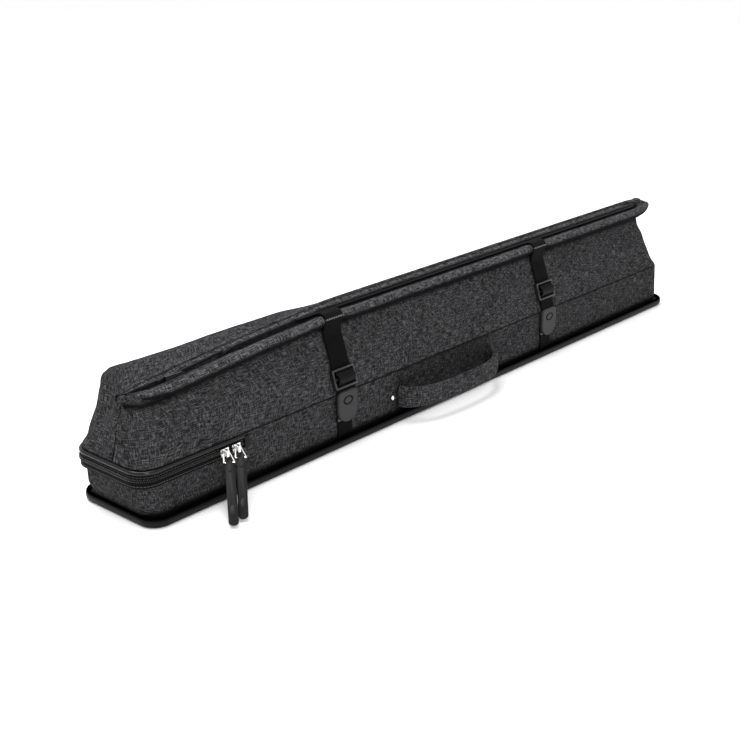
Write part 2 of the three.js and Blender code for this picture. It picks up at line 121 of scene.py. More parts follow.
def face_away_from(bm, inside):
    """Turns an open sheet so that most of its faces look away from a point inside."""
    toward = sum((f.calc_center_median() - inside).dot(f.normal) * f.calc_area() for f in bm.faces)
    if toward < 0:
        bmesh.ops.reverse_faces(bm, faces=bm.faces)
    return bm


def along(points):
    """Distance walked from the first point to each of the others."""
    steps = np.linalg.norm(np.diff(points, axis=0), axis=1)
    return np.concatenate([[0], np.cumsum(steps)])


def pair_up(first, second):
    """A grid of pairs from two arrays that broadcast together."""
    return np.stack(np.broadcast_arrays(first, second), axis=2)


def curve_through(points, count):
    """A smooth line of `count` points through a few chosen ones, evenly spaced."""
    points = np.array(points, float)
    ends = np.vstack([2 * points[0] - points[1], points, 2 * points[-1] - points[-2]])
    line = []
    for k in range(len(points) - 1):
        p0, p1, p2, p3 = ends[k:k + 4]
        for t in np.linspace(0, 1, 24, endpoint=False):
            line.append(0.5 * (2 * p1 + (p2 - p0) * t + (2 * p0 - 5 * p1 + 4 * p2 - p3) * t ** 2
                               + (3 * p1 - p0 - 3 * p2 + p3) * t ** 3))
    line = np.vstack([line, points[-1]])
    walked = along(line)
    wanted = np.linspace(0, walked[-1], count)
    return np.stack([np.interp(wanted, walked, line[:, k]) for k in range(points.shape[1])], axis=1)


# %% [markdown]
# ## Camera, floor and light
# The case is seen from in front of its zipped end and a little above. A long lens keeps the far
# end from shrinking too much. Two broad, soft lamps and a bright room give even light: the top
# panel is the lightest, and the lower wall is the darkest.

# %% Camera
scene = bpy.context.scene
camera = bpy.data.objects.new("camera", bpy.data.cameras.new("camera"))
scene.collection.objects.link(camera)
camera.data.sensor_width = 36
camera.data.lens = 63.3
camera.location = (-1.0484, -0.8462, 0.5223)
heading, pitch = math.radians(41.56), math.radians(20.69)
look = Vector((math.cos(pitch) * math.cos(heading), math.cos(pitch) * math.sin(heading), -math.sin(pitch)))
camera.rotation_mode = "QUATERNION"
camera.rotation_quaternion = look.to_track_quat("-Z", "Y")
scene.camera = camera
scene.view_settings.view_transform = "Standard"

# %% Floor and light


def plain_material(name, colour, roughness):
    material = bpy.data.materials.new(name)
    material.use_nodes = True
    shader = material.node_tree.nodes["Principled BSDF"]
    shader.inputs["Base Color"].default_value = (*colour, 1)
    shader.inputs["Roughness"].default_value = roughness
    return material


floor_bm = bmesh.new()
bmesh.ops.create_grid(floor_bm, x_segments=1, y_segments=1, size=12)
floor = make_piece("floor", floor_bm, plain_material("paper_floor", (0.97, 0.97, 0.97), 0.9))
floor.location.z = -0.2 * MM

world = bpy.data.worlds.new("room")
world.use_nodes = True
world.node_tree.nodes["Background"].inputs["Color"].default_value = (1, 1, 1, 1)
world.node_tree.nodes["Background"].inputs["Strength"].default_value = 1.0
scene.world = world


def soft_lamp(name, place, target, size, watts):
    lamp = bpy.data.objects.new(name, bpy.data.lights.new(name, "AREA"))
    lamp.data.size = size
    lamp.data.energy = watts
    lamp.location = place
    lamp.rotation_mode = "QUATERNION"
    lamp.rotation_quaternion = (Vector(target) - Vector(place)).to_track_quat("-Z", "Y")
    scene.collection.objects.link(lamp)


soft_lamp("overhead_lamp", (-0.3, 0.5, 1.9), (0, 0, 0.05), 1.4, 40)
soft_lamp("window_lamp", (-1.25, -1.65, 1.1), (-0.35, 0, 0.08), 0.6, 17)
print("camera at", tuple(camera.location))

# %% [markdown]
# ## Heathered cloth
# The case is covered in a charcoal cloth whose threads are not all one grey: light and dark
# fibres run a few millimetres along each thread before the shade changes. Two stretched noises,
# one along the warp and one along the weft, draw those streaks. The weave itself is two fine
# waves that only lift the surface. The pattern reads the piece's own UV map, kept in metres, so
# threads keep their size on every panel and follow it round corners.

# %% Node helpers


class Nodes:
    """A short way to write a material's nodes."""

    def __init__(self, name):
        self.material = bpy.data.materials.new(name)
        self.material.use_nodes = True
        self.tree = self.material.node_tree
        self.shader = self.tree.nodes["Principled BSDF"]

    def add(self, kind, inputs=(), **settings):
        node = self.tree.nodes.new(kind)
        for key, value in settings.items():
            setattr(node, key, value)
        for key, value in dict(inputs).items():
            if isinstance(value, bpy.types.NodeSocket):
                self.tree.links.new(value, node.inputs[key])
            else:
                node.inputs[key].default_value = value
        return node

    def math(self, operation, a, b=0.0, clamp=False):
        node = self.add("ShaderNodeMath", {0: a, 1: b}, operation=operation, use_clamp=clamp)
        return node.outputs[0]

    def place(self, source, scale, offset=(0, 0, 0)):
        inputs = {"Vector": source, "Scale": scale, "Location": offset}
        return self.add("ShaderNodeMapping", inputs).outputs[0]

    def noise(self, vector, detail=2.0, rough=0.55):
        inputs = {"Vector": vector, "Scale": 1.0, "Detail": detail, "Roughness": rough}
        return self.add("ShaderNodeTexNoise", inputs).outputs["Fac"]

    def ramp(self, factor, stops):
        node = self.add("ShaderNodeValToRGB", {"Fac": factor})
        elements = node.color_ramp.elements
        while len(elements) < len(stops):
            elements.new(0.5)
        for element, (position, shade) in zip(elements, stops):
            element.position = position
            element.color = (*shade, 1) if hasattr(shade, "__len__") else (shade, shade, shade, 1)
        return node.outputs["Color"]

    def mix(self, share, first, second):
        """A colour between two others. Each is a socket or a level of grey."""
        ends = [end if isinstance(end, bpy.types.NodeSocket) else (end, end, end, 1)
                for end in (first, second)]
        return self.add("ShaderNodeMix", {0: share, 6: ends[0], 7: ends[1]}, data_type="RGBA").outputs[2]

    def bump(self, height, distance, strength=1.0, before=None):
        inputs = {"Height": height, "Distance": distance, "Strength": strength}
        if before is not None:
            inputs["Normal"] = before
        return self.add("ShaderNodeBump", inputs).outputs["Normal"]

    def finish(self, colour, roughness, normal=None, **constants):
        links = self.tree.links
        links.new(colour, self.shader.inputs["Base Color"])
        if isinstance(roughness, bpy.types.NodeSocket):
            links.new(roughness, self.shader.inputs["Roughness"])
        else:
            self.shader.inputs["Roughness"].default_value = roughness
        if normal is not None:
            links.new(normal, self.shader.inputs["Normal"])
        for key, value in constants.items():
            self.shader.inputs[key.replace("_", " ")].default_value = value
        return self.material


# %% The cloth
FIBRE_TINT = (1.0, 0.97, 1.02)
WEAVE_SCALE = 330.0  # gives a thread about every millimetre


def darken_seams_paint_shade(n, colour, fade):
    """Darkens a colour along stitched seams, and paints shade along the lines that the seams layer's second
    axis marks.
    """
    edge = n.add("ShaderNodeSeparateXYZ", {0: n.add("ShaderNodeUVMap", uv_map="seams").outputs[0]}).outputs
    from_seam = n.math("MULTIPLY", n.math("ABSOLUTE", edge[0]), 1100.0)
    stitched = n.math("SUBTRACT", 1.7, from_seam, clamp=True)
    # Painted shade along the lines of the seams layer's second axis: under the hem, under the lip roll, in
    # the slot's fold and at the wall's foot.
    from_shade_line = n.math("MULTIPLY", n.math("ABSOLUTE", edge[1]), fade[1])
    painted_shade = n.math("SUBTRACT", fade[0], from_shade_line, clamp=True)
    dark = n.math("MAXIMUM", stitched, n.math("MULTIPLY", painted_shade, 0.95))
    return n.mix(dark, colour, 0.002)


def weave_height(n, uv):
    """Two fine waves that cross, one for each direction of thread."""
    waves = [n.add("ShaderNodeTexWave", {"Vector": n.place(uv, axis), "Scale": WEAVE_SCALE},
                   bands_direction=direction).outputs["Fac"]
             for axis, direction in (((1, 0, 0), "X"), ((0, 1, 0), "Y"))]
    return n.math("MULTIPLY", n.math("ADD", *waves), 0.5)


def heather_cloth(name, dark, light, seams=False, fade=(1.25, 380.0)):
    """Cloth between two greys. `fade` says how dark a painted shade line is, and how fast it fades per metre.
    """
    n = Nodes(name)
    uv = n.add("ShaderNodeUVMap", uv_map="UVMap").outputs[0]
    warp = n.noise(n.place(uv, (115, 1150, 1)), 2.0, 0.6)
    weft = n.noise(n.place(uv, (1150, 140, 1), (31, 17, 0)), 2.0, 0.6)
    cloud = n.noise(n.place(uv, (24, 24, 1), (5, 3, 0)), 3.0, 0.6)
    threads = n.math("ADD", n.math("MULTIPLY", warp, 0.55), n.math("MULTIPLY", weft, 0.55))
    mixed = n.math("ADD", threads, n.math("MULTIPLY", n.math("SUBTRACT", cloud, 0.5), 0.07))
    shade = [tuple(level * t for t in FIBRE_TINT) for level in (dark * 0.3, dark, light, light * 2.0)]
    colour = n.ramp(mixed, [(0.44, shade[0]), (0.53, shade[1]), (0.59, shade[2]), (0.67, shade[3])])
    if seams:
        colour = darken_seams_paint_shade(n, colour, fade)
    normal = n.bump(weave_height(n, uv), 0.00012, 0.6)
    normal = n.bump(mixed, 0.0005, 0.5, normal)
    return n.finish(colour, 0.92, normal, Specular_IOR_Level=0.04)


cover_cloth = heather_cloth("cover_cloth", 0.0175, 0.039, seams=True, fade=(1.2, 240.0))
# Painted light: the lips are the cover's cloth painted lighter, for the light on the rolls' tops.
lit_lip_cloth = heather_cloth("lit_lip_cloth", 0.024, 0.053)
lit_roll_cloth = heather_cloth("lit_roll_cloth", 0.026, 0.058, seams=True)
wall_cloth = heather_cloth("wall_cloth", 0.0165, 0.036, seams=True)
patch_cloth = heather_cloth("patch_cloth", 0.0165, 0.036)
print("made the cloths")

# %% [markdown]
# ## The soft cover
# The upper half is one sewn bag over foam. It is easiest to think of it as a stack of outlines:
# a rounded rectangle at the bottom that narrows, level by level, until only a slit is left
# between the two lips. Each outline has a front and a rear edge, two ends and two corner
# radii. The near end droops towards the slit's tip, so each level also says how high it is there.
# Laying a grid over those outlines keeps the rows along the panel and the columns up it, which
# is how cloth is cut. Sewn folds and a little slackness are then pressed into the surface.

# %% Sizes taken from the solids
rim_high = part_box("base_rim")[1]
NEAR_TIP, FAR_TIP = Vector((-431, -15, 114)), Vector((400, -12, 121))
straps = {side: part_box(side + "_snap") for side in ("near", "far")}
STRAP_XS = [(low.x + high.x) / 2 / MM for low, high in straps.values()]

# %% Outlines of the cover
# Each level gives its height, front edge, rear edge, near end, far end, height at the near end,
# near and far corner radius, and the y of the seam at the near and the far end.
LEVELS = np.array([
    (53.4, -46.3, 46.3, -432.0, 421.5, 53.6, 20, 22, 0, 0),
    (54.2, -48.1, 48.1, -433.0, 422.5, 54.4, 20, 22, 0, 0),
    (56.2, -48.2, 48.2, -433.4, 422.0, 56.4, 21, 23, -1, 0),
    (59.5, -46.2, 47.2, -433.0, 419.8, 59.5, 22, 24, -1, 0),
    (66.0, -43.7, 46.0, -432.5, 417.0, 65.5, 27, 26, -2, -1),
    (74.0, -41.2, 45.0, -432.0, 414.0, 73.0, 27, 27, -3, -2),
    (82.0, -38.6, 43.7, -431.0, 411.5, 80.5, 27, 27, -5, -3),
    (90.0, -35.9, 41.9, -430.0, 410.0, 88.0, 27, 27, -7, -5),
    (98.0, -33.1, 39.5, -429.0, 407.0, 95.0, 22, 27, -9, -7),
    (105.0, -30.8, 36.6, -428.2, 402.5, 101.0, 19, 27, -11, -9),
    (111.0, -28.8, 32.8, -427.5, 399.0, 105.5, 17, 26, -13, -10),
    (116.0, -27.1, 28.4, -427.0, 397.0, 109.0, 15, 25, -14, -12),
    (120.0, -25.8, 24.2, -426.5, 396.5, 111.5, 13, 22, -15, -13),
    (124.0, -24.6, 18.6, -427.0, 399.0, 113.0, 11, 18, -15, -14),
    (128.0, -23.4, 11.6, -428.0, 402.0, 114.0, 13, 14, -15, -14),
    (132.0, -22.6, 3.2, -429.5, 406.0, 114.8, 9, 10, -15, -14),
    (135.5, -21.9, -4.6, -430.5, 410.0, 115.2, 5, 6, -15, -14),
    (137.6, -21.4, -9.4, -431.0, 413.0, 115.4, 2.5, 3, -15, -14),
    (137.4, -20.8, -11.6, -431.0, 413.5, 115.0, 2, 2, -15, -14),
    (133.0, -20.4, -12.8, -430.5, 413.0, 113.6, 1.8, 2, -15, -14),
    (126.0, -19.9, -13.6, -430.0, 412.5, 111.5, 1.6, 1.6, -15, -14),
])
ROWS_BETWEEN = 2
DROOP_FROM = -150  # from here the top droops towards the near end
END_CELLS, CORNER_CELLS, SIDE_CELLS = 9, 9, 112


def half_outline(edge, seam, near, far, near_r, far_r):
    """Half an outline, from the near seam round the `edge` side to the far seam."""
    sign = 1 if edge > seam else -1
    near_r = min(near_r, abs(edge - seam) * 0.98)
    far_r = min(far_r, abs(edge - seam) * 0.98)
    turn = np.linspace(0, math.pi / 2, CORNER_CELLS, endpoint=False)
    near_end = np.linspace(seam, edge - sign * near_r, END_CELLS, endpoint=False)
    side = np.linspace(near + near_r, far - far_r, SIDE_CELLS, endpoint=False)
    far_end = np.linspace(edge - sign * far_r, seam, END_CELLS + 1)
    parts = [
        (np.full(END_CELLS, near), near_end),
        (near + near_r * (1 - np.cos(turn)), edge - sign * near_r * (1 - np.sin(turn))),
        (side, np.full(SIDE_CELLS, edge)),
        (far - far_r * (1 - np.sin(turn)), edge - sign * far_r * (1 - np.cos(turn))),
        (np.full(END_CELLS + 1, far), far_end),
    ]
    return np.concatenate([np.column_stack(part) for part in parts])


def bow_out(points):
    """The zipped end bulges a few millimetres at the height of the zip, as a filled bag's end does."""
    x, z = points[..., 0], points[..., 2]
    moved = points.copy()
    moved[..., 0] -= 5.8 * smooth((-392 - x) / 34) * smooth((z - 8) / 14) * (1 - smooth((z - 36) / 46))
    return moved


def droop(x, near):
    """How far a point is down the drooping near end: 0 at mid-length, 1 at the end itself."""
    share = np.clip((DROOP_FROM - x) / (DROOP_FROM - near), 0, 1)
    return 0.8 * share + 0.2 * share ** 12


def cover_outline(level):
    z, front, rear, near, far, near_z, near_r, far_r, near_seam, far_seam = level
    near_seam = min(near_seam, -9 - 5 * smooth((z - 54) / 60))
    seam = (near_seam + far_seam) / 2
    front_half = half_outline(front, seam, near, far, near_r, far_r)
    rear_half = half_outline(rear, seam, near, far, near_r, far_r)[::-1]
    # The rear of the near end leans in above the zip, while the seam in its middle stays out.
    lean = 9.0 * smooth((z - 62) / 50) * smooth((rear_half[:, 1] - seam) / 24)
    rear_half[:, 0] += lean * np.exp(-np.maximum(rear_half[:, 0] - near, 0) / 60)
    xy = np.concatenate([front_half, rear_half[1:]])
    tilt = near_seam + (far_seam - near_seam) * (xy[:, 0] - near) / (far - near) - seam
    at_end = np.exp(-((xy[:, 1] - seam) / 9.0) ** 2)
    fuller = 5.5 * smooth((z - 100) / 14) * smooth((xy[:, 1] - seam) / 14) * smooth((139 - z) / 16)
    heights = z - (z - near_z - fuller) * droop(xy[:, 0], near)
    # Foam keeps the rear of the top full almost as far as the near end.
    share = np.clip((DROOP_FROM - xy[:, 0]) / (DROOP_FROM - near), 0, 1)
    filled = 5.2 * smooth(share / 0.25) + 2.6 * share
    heights += filled * smooth((z - 96) / 18) * smooth((xy[:, 1] - seam) / 20) * smooth((138 - z) / 12)
    top_line = np.interp(xy[:, 0], [360, 400, 416, 426, 432], [139.3, 137.8, 135.2, 131.4, 128.4])
    heights = np.minimum(heights, top_line)
    return bow_out(np.column_stack([xy[:, 0], xy[:, 1] + tilt * at_end, heights]))


# %% Rows of points for the whole cover
# Levels in between come from a smooth line through the chosen ones.
fine_levels = curve_through(LEVELS, (len(LEVELS) - 1) * ROWS_BETWEEN + 1)
cover_points = np.stack([cover_outline(level) for level in fine_levels])

# The front half stays under the front lip: it stops at the lip's line and goes no higher.
front_columns = 2 * (END_CELLS + CORNER_CELLS) + SIDE_CELLS + 1
lip_line = curve_through([
    (-431, -16, 114), (-415, -24, 113), (-380, -27, 114), (-330, -27.5, 118), (-270, -27.2, 122.5),
    (-205, -27, 125.8), (-150, -27, 126), (350, -27, 126), (392, -26, 126.5), (415, -20, 128),
    (431, -15, 129),
], 400)
lip_height = np.interp(cover_points[..., :front_columns, 0], lip_line[:, 0], lip_line[:, 2]) + 2.5
front_z = cover_points[..., :front_columns, 2]
cover_points[..., :front_columns, 2] = np.minimum(front_z, lip_height)

# %% Folds, slackness and seams


def seam_line_y(z):
    return -14 * smooth((z - 54) / 55)


def relief_at(x, y, z):
    """How far one point stands proud, in millimetres: slackness, tip folds, a ridge under the lip."""
    slack = noise.noise(Vector((x * 0.013, y * 0.03, z * 0.03)))
    ripple = noise.noise(Vector((x * 0.045 + 9, y * 0.05, z * 0.06)))
    proud = 0.9 * slack + 0.45 * ripple
    away = (Vector((x, y, z)) - NEAR_TIP).length
    if away < 130:
        angle = math.atan2(114 - z, (x + 431) * 0.8 - (y + 15))
        fold = math.sin(7.5 * angle + 0.6) + 0.6 * math.sin(15 * angle + 2.2)
        proud += 1.5 * fold * math.exp(-away / 42) * min(1, away / 14)
    if y < seam_line_y(z) and -425 < x < -335:
        under = np.interp(x, lip_line[:, 0], lip_line[:, 2]) - 9.5 - z
        ridge = 1.3 * math.exp(-((under - 3) / 2.2) ** 2) - 1.6 * math.exp(-(under / 1.3) ** 2)
        proud += math.sin(math.pi * (x + 425) / 90) * ridge
    away = (Vector((x, y, z)) - FAR_TIP).length
    if away < 90:
        angle = math.atan2(124 - z, (408 - x) * 0.8 + (y + 15))
        proud += 1.2 * math.sin(7 * angle) * math.exp(-away / 32) * min(1, away / 12)
    return proud


def cover_relief(points):
    """The relief of the whole cover, held flat where the straps cross it."""
    relief = np.array([[relief_at(*point) for point in row] for row in points])
    held_flat = sum(np.exp(-((points[..., 0] - x) / 20.0) ** 2) for x in STRAP_XS)
    return relief * (1 - 0.85 * np.clip(held_flat, 0, 1)) - 0.5 * held_flat


def outward(points):
    """Outward direction at each point of a wrapped grid, from its neighbours."""
    around = np.roll(points, -1, axis=1) - np.roll(points, 1, axis=1)
    up = np.gradient(points, axis=0)
    normal = np.cross(around, up)
    length = np.linalg.norm(normal, axis=2, keepdims=True)
    return normal / np.maximum(length, 1e-9)


# %% Relief pressed into the cover
ring = cover_points[:, :-1]
normals = outward(ring)
relief = cover_relief(ring)
rows_up = np.arange(len(ring))
fade = smooth(np.minimum(rows_up / 4.0, (len(ring) - 1 - rows_up) / 8.0))[:, None]
columns = ring.shape[1]
seam_dip = np.zeros(columns)
for column in (0, front_columns - 1):
    offset = np.abs((np.arange(columns) - column + columns // 2) % columns - columns // 2)
    seam_dip -= 1.5 * np.exp(-(offset / 0.7) ** 2)
bulge = 0.7 * np.sin(np.pi * np.clip(rows_up / 22.0, 0, 1))[:, None]
ring = ring + normals * ((relief + seam_dip) * fade + bulge)[..., None]
cover_points = np.concatenate([ring, ring[:, :1]], axis=1) * MM

# %% Threads and shaded lines of the cover
# UVs are in metres, round the case and up each panel. The second map keeps the distance to the
# nearest stitched seam, and to the lines where shade is painted: under the hem and under the front lip.
TOP_SEAM = {"x": -152, "y": -10, "radius": 22}


def top_seam_gap(x, y, z):
    """Distance to the seam that runs along the top and turns down to the slot in a round corner."""
    if z < 112 or y < -9 or x < -405:
        return 1000.0
    if x > TOP_SEAM["x"]:
        return abs(math.hypot(x - TOP_SEAM["x"], y - TOP_SEAM["y"]) - TOP_SEAM["radius"])
    return abs(y - TOP_SEAM["y"] - TOP_SEAM["radius"])


def shade_line_gap(x, y, z):
    """Distance to the painted shade lines: under the cover's overhanging hem, and under the front lip."""
    hem = abs(z - 54.9) * 2.06
    if y > -16 or x > 402:
        return hem
    lip_z = np.interp(x, lip_line[:, 0], lip_line[:, 2]) - 7.0
    return min(hem, abs(z - lip_z))


walk = along(cover_points[8])
middles = (front_columns // 2, front_columns + front_columns // 2)
rises = [along(cover_points[:, column]) for column in middles]
on_front = np.arange(cover_points.shape[1]) < front_columns
rise = np.where(on_front[None, :], rises[0][:, None], rises[1][:, None] + 1.0)
cover_uv = np.stack([np.broadcast_to(walk, rise.shape), rise], axis=2)
cover_shade = np.zeros(cover_uv.shape)
for i, row in enumerate(cover_points):
    own_walk = along(row)
    far_walk = own_walk[front_columns - 1]
    for j, (x, y, z) in enumerate(row / MM):
        to_end_seams = (own_walk[j], own_walk[-1] - own_walk[j], abs(own_walk[j] - far_walk))
        cover_shade[i, j] = min(*to_end_seams, top_seam_gap(x, y, z) * MM), shade_line_gap(x, y, z) * MM

# %% The cover as one piece
cover_bm = lay_grid(cover_points, cover_uv, wrap_across=True, shade=cover_shade)
face_away_from(cover_bm, Vector((0, 0, 80 * MM)))
print("the cover has", len(cover_bm.faces), "faces and is", round(rises[0][-1] * 1000), "mm up the front")
cover = make_piece("cover_skin", cover_bm, cover_cloth)


def fold_with_flap(piece):
    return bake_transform(piece)


fold_with_flap(cover)
finish_with(cover, "SOLIDIFY", thickness=1.8 * MM, offset=-1)
subdivide(cover)
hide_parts("cover_front_panel", "cover_rear_panel", "cover_top_panel", "cover_far_end",
            "flap_front_panel", "flap_rear_panel", "fold_gusset")

# %% [markdown]
# ## The lips
# Where the cover meets along the top, its edges are folded back over a soft core. Their cloth is
# the cover's cloth painted lighter, as painted light on the lit tops of the rolls. The front lip is a fat
# roll that hangs over the front panel and throws a shadow, which is also painted as shade on the
# cover below it and on the roll's own underside; it thins to a point at both ends. Each lip is one
# closed section carried along its own line, with its size and its roundness changing on the way.

# %% A section carried along a line


def carry(line, section, size):
    """Points of a closed section carried along a line that runs mostly along X.

    section is (out, up) pairs; size(t) gives the two scales at share t of the way."""
    count = len(line)
    points = []
    for k in range(count):
        forward = line[min(k + 1, count - 1)] - line[max(k - 1, 0)]
        forward = forward / np.linalg.norm(forward)
        side = np.cross(forward, [0, 0, 1])
        side = side / np.linalg.norm(side)
        up = np.cross(side, forward)
        out_scale, up_scale = size(k / (count - 1))
        ring_points = [line[k] + side * out * out_scale + up * high * up_scale for out, high in section]
        points.append(ring_points + ring_points[:1])
    return np.array(points)


def carried_uv(points):
    return pair_up(along(points[:, 0])[:, None], along(points[len(points) // 2])[None, :])


def ellipse(cx, cy, rx, ry, count=28):
    turns = np.linspace(0, 2 * math.pi, count, endpoint=False)
    return [(cx + rx * math.cos(a), cy + ry * math.sin(a)) for a in turns]


# %% The front lip, a fat roll
front_line = curve_through([
    (-431.5, -15, 114.5), (-424, -20.5, 113.2), (-405, -25.5, 112.8), (-380, -27.3, 114),
    (-330, -28, 118.2), (-270, -27.8, 122.5), (-205, -27.6, 125.6), (-150, -27.4, 126.2),
    (-50, -27.3, 126.3), (150, -27.3, 126.3), (350, -27.3, 126.3), (388, -26, 126.6),
    (410, -22, 127), (429.5, -17, 127.6)], 230)
for k, point in enumerate(front_line):
    squeezed = sum(math.exp(-((point[0] - strap) / 17) ** 2) for strap in STRAP_XS)
    point[1] -= 2.6 * min(1, k / 14, (len(front_line) - 1 - k) / 14) * (1 - squeezed)
    point[2] += 0.5 * noise.noise(Vector((point[0] * 0.02, 3.0, 0)))
    point[1] += 0.4 * noise.noise(Vector((point[0] * 0.03, 7.0, 0)))

lip_section = ellipse(0, 0, 5.4, 6.0, 18)


def lip_size(t):
    """The roll thins to a point at both ends, and is pinched where a strap crosses it."""
    taper = min(1, 0.22 + t * 15) * min(1, 0.22 + 4.2 * math.sqrt(1 - t))
    x = front_line[round(t * (len(front_line) - 1)), 0]
    pinch = 1 - 0.27 * sum(math.exp(-((x - strap) / 14) ** 2) for strap in STRAP_XS)
    return max(0.1, taper) * pinch, max(0.14, taper ** 0.8) * pinch


lip_points = carry(front_line, lip_section, lip_size) * MM
# Painted shade: the roll is darkened on its underside, below 1.8 mm under its centre line.
above_underside = np.maximum(0, lip_points[:, :, 2] - front_line[:, None, 2] * MM + 1.8 * MM)
lip_shade = np.stack([np.ones(above_underside.shape), above_underside], axis=2)
lip_bm = lay_grid(lip_points, carried_uv(lip_points), wrap_up=True, cap=True, shade=lip_shade)
front_lip = make_piece("front_lip_roll", lip_bm, lit_roll_cloth)
fold_with_flap(front_lip)
subdivide(front_lip)
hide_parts("front_lip", "flap_front_lip")

# %% The back lip, a thin edge that swells at the far tip
back_line = curve_through([
    (-431, -14.2, 115), (-405, -12.6, 119.6), (-370, -11.8, 123.2), (-330, -11.4, 126.8),
    (-290, -11.2, 129.8), (-240, -11, 133), (-190, -10.8, 135.8), (-150, -10.8, 137),
    (50, -10.8, 137.2), (330, -10.8, 137.2), (370, -11, 137.0), (398, -12, 134.2),
    (416, -13.6, 131.0), (426, -15, 128.8), (430, -15.8, 127.8)], 220)
edge_section = ellipse(0, 0, 1.5, 1.7, 12)


def edge_size(t):
    """A thin edge that swells into a second roll where it meets the front one at the far tip."""
    taper = min(1, 0.3 + 12 * t, 0.25 + 5 * math.sqrt(1 - t))
    return (taper * (1 + 1.6 * smooth((t - 0.92) / 0.05)),) * 2


edge_points = carry(back_line, edge_section, edge_size) * MM
edge_bm = lay_grid(edge_points, carried_uv(edge_points), wrap_up=True, cap=True)
back_lip = make_piece("back_lip_edge", edge_bm, lit_lip_cloth)
fold_with_flap(back_lip)
subdivide(back_lip)
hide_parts("back_lip", "flap_back_lip")
print("the lips are carried along", len(front_line), "and", len(back_line), "stations")

# %% [markdown]
# ## The inner flap that closes the slot
# Between the lips a strip of the same cloth folds down and up again. It lies nearly shut along most
# of the case, and gapes for about a hand's width near the zipped end, where the pouch's zip shows.

# %% A folded strip between the lips
OPEN_FROM, OPEN_TO = -398, -288
FOLD_AT = 0.42
shares = np.linspace(0, 1, 19)
slot_rows = []
for x in np.concatenate([np.linspace(-424, -270, 78), np.linspace(-266, 430, 132)]):
    lip_y, lip_z = (np.interp(x, front_line[:, 0], front_line[:, k]) for k in (1, 2))
    back_y, back_z = (np.interp(x, back_line[:, 0], back_line[:, k]) for k in (1, 2))
    gape = smooth((x - OPEN_FROM) / 34) * smooth((OPEN_TO - x) / 40)
    row = []
    for share in shares:
        y = lip_y + 1 + (back_y - lip_y - 1.5) * share
        z = lip_z + 3.6 + (back_z - lip_z - 4.2) * share ** 1.2
        width = 0.10 + 0.16 * gape
        z -= (2.6 + 7.0 * gape) * math.exp(-((share - FOLD_AT) / width) ** 2)
        row.append((x, y, z + 0.3 * noise.noise(Vector((x * 0.03, share * 2, 4)))))
    slot_rows.append(row)
slot_points = np.array(slot_rows) * MM
slot_uv = pair_up(along(slot_points[:, 0])[:, None], along(slot_points[80])[None, :])
# Painted shade: the strip darkens towards its fold, so the slot reads as a dark gap.
from_fold = np.maximum(0, np.abs(shares - FOLD_AT) * 15 - 2.2) * MM
slot_shade = np.broadcast_to(np.stack([np.ones(len(shares)), from_fold], axis=1), slot_uv.shape)
slot_bm = lay_grid(slot_points, slot_uv, shade=slot_shade)
face_away_from(slot_bm, Vector((0, -0.02, 0)))
slot_flap = make_piece("slot_inner_flap", slot_bm, lit_roll_cloth)
fold_with_flap(slot_flap)
finish_with(slot_flap, "SOLIDIFY", thickness=0.8 * MM, offset=-1)
subdivide(slot_flap)

# %% [markdown]
# ## The hard lower walls and the rolled rim
# The bottom half is board wrapped in the same cloth, with its corners bent round; painted shade
# darkens the wall towards its foot. The rim is a moulded rubber edge: a fat roll outside, then a
# groove that the wall stands in, so a dark line shows all the way round, and its upper part is
# painted near-black as painted shade. Both are made from the same rounded outline, one with a
# straight profile and the other with a curled one.

# %% Rounded outlines


def round_outline(half_x, half_y, radius, side_cells=120, end_cells=10, corner_cells=12):
    """A closed rounded rectangle with its outward directions, starting on the front side."""
    points, outs = [], []
    corners = [(half_x - radius, -half_y + radius, -90), (half_x - radius, half_y - radius, 0),
               (-half_x + radius, half_y - radius, 90), (-half_x + radius, -half_y + radius, 180)]
    cells = [side_cells, end_cells, side_cells, end_cells]
    for (cx, cy, start), (px, py, before), count in zip(corners, corners[-1:] + corners[:-1], cells):
        angle = math.radians(start)
        out = np.array([math.cos(angle), math.sin(angle)])
        first = np.array([px, py]) + radius * out
        last = np.array([cx, cy]) + radius * out
        for t in np.linspace(0, 1, count, endpoint=False):
            points.append(first + (last - first) * t)
            outs.append(out)
        for turn in np.linspace(0, math.pi / 2, corner_cells, endpoint=False):
            out = np.array([math.cos(angle + turn), math.sin(angle + turn)])
            points.append(np.array([cx, cy]) + radius * out)
            outs.append(out)
    return np.array(points + points[:1]), np.array(outs + outs[:1])


def sweep_round(profile, half_x, half_y, radius, **cells):
    """A profile of (out, z) pairs swept round a rounded rectangle."""
    points, outs = round_outline(half_x, half_y, radius, **cells)
    rows = [np.column_stack([points + outs * out, np.full(len(points), z)]) for out, z in profile]
    return np.stack(rows)


# %% Rubber rim


def moulded_rubber(name, shade, roughness, shaded_above):
    """Black moulded rubber. Its upper part is painted near-black with no specular, as painted shade under the
    case.
    """
    n = Nodes(name)
    where = n.add("ShaderNodeTexCoord").outputs["Object"]
    grain = n.noise(n.place(where, (900, 900, 900)), 3.0, 0.6)
    wear = n.noise(n.place(where, (30, 30, 30)), 4.0, 0.6)
    height = n.add("ShaderNodeSeparateXYZ", {0: where}).outputs[2]
    # Painted shade: low is 1 below the shade line and 0 above it, where the rubber is painted near-black with
    # no specular.
    low = n.math("MULTIPLY", n.math("SUBTRACT", shaded_above, height), 320.0, clamp=True)
    worn = n.ramp(wear, [(0.3, shade * 0.8), (0.55, shade), (0.8, shade * 1.5)])
    rough = n.math("ADD", n.math("MULTIPLY", wear, 0.25), roughness - 0.12)
    n.tree.links.new(n.math("MULTIPLY", low, 0.13), n.shader.inputs["Specular IOR Level"])
    return n.finish(n.mix(low, 0.0006, worn), rough, n.bump(grain, 0.0001, 0.5))


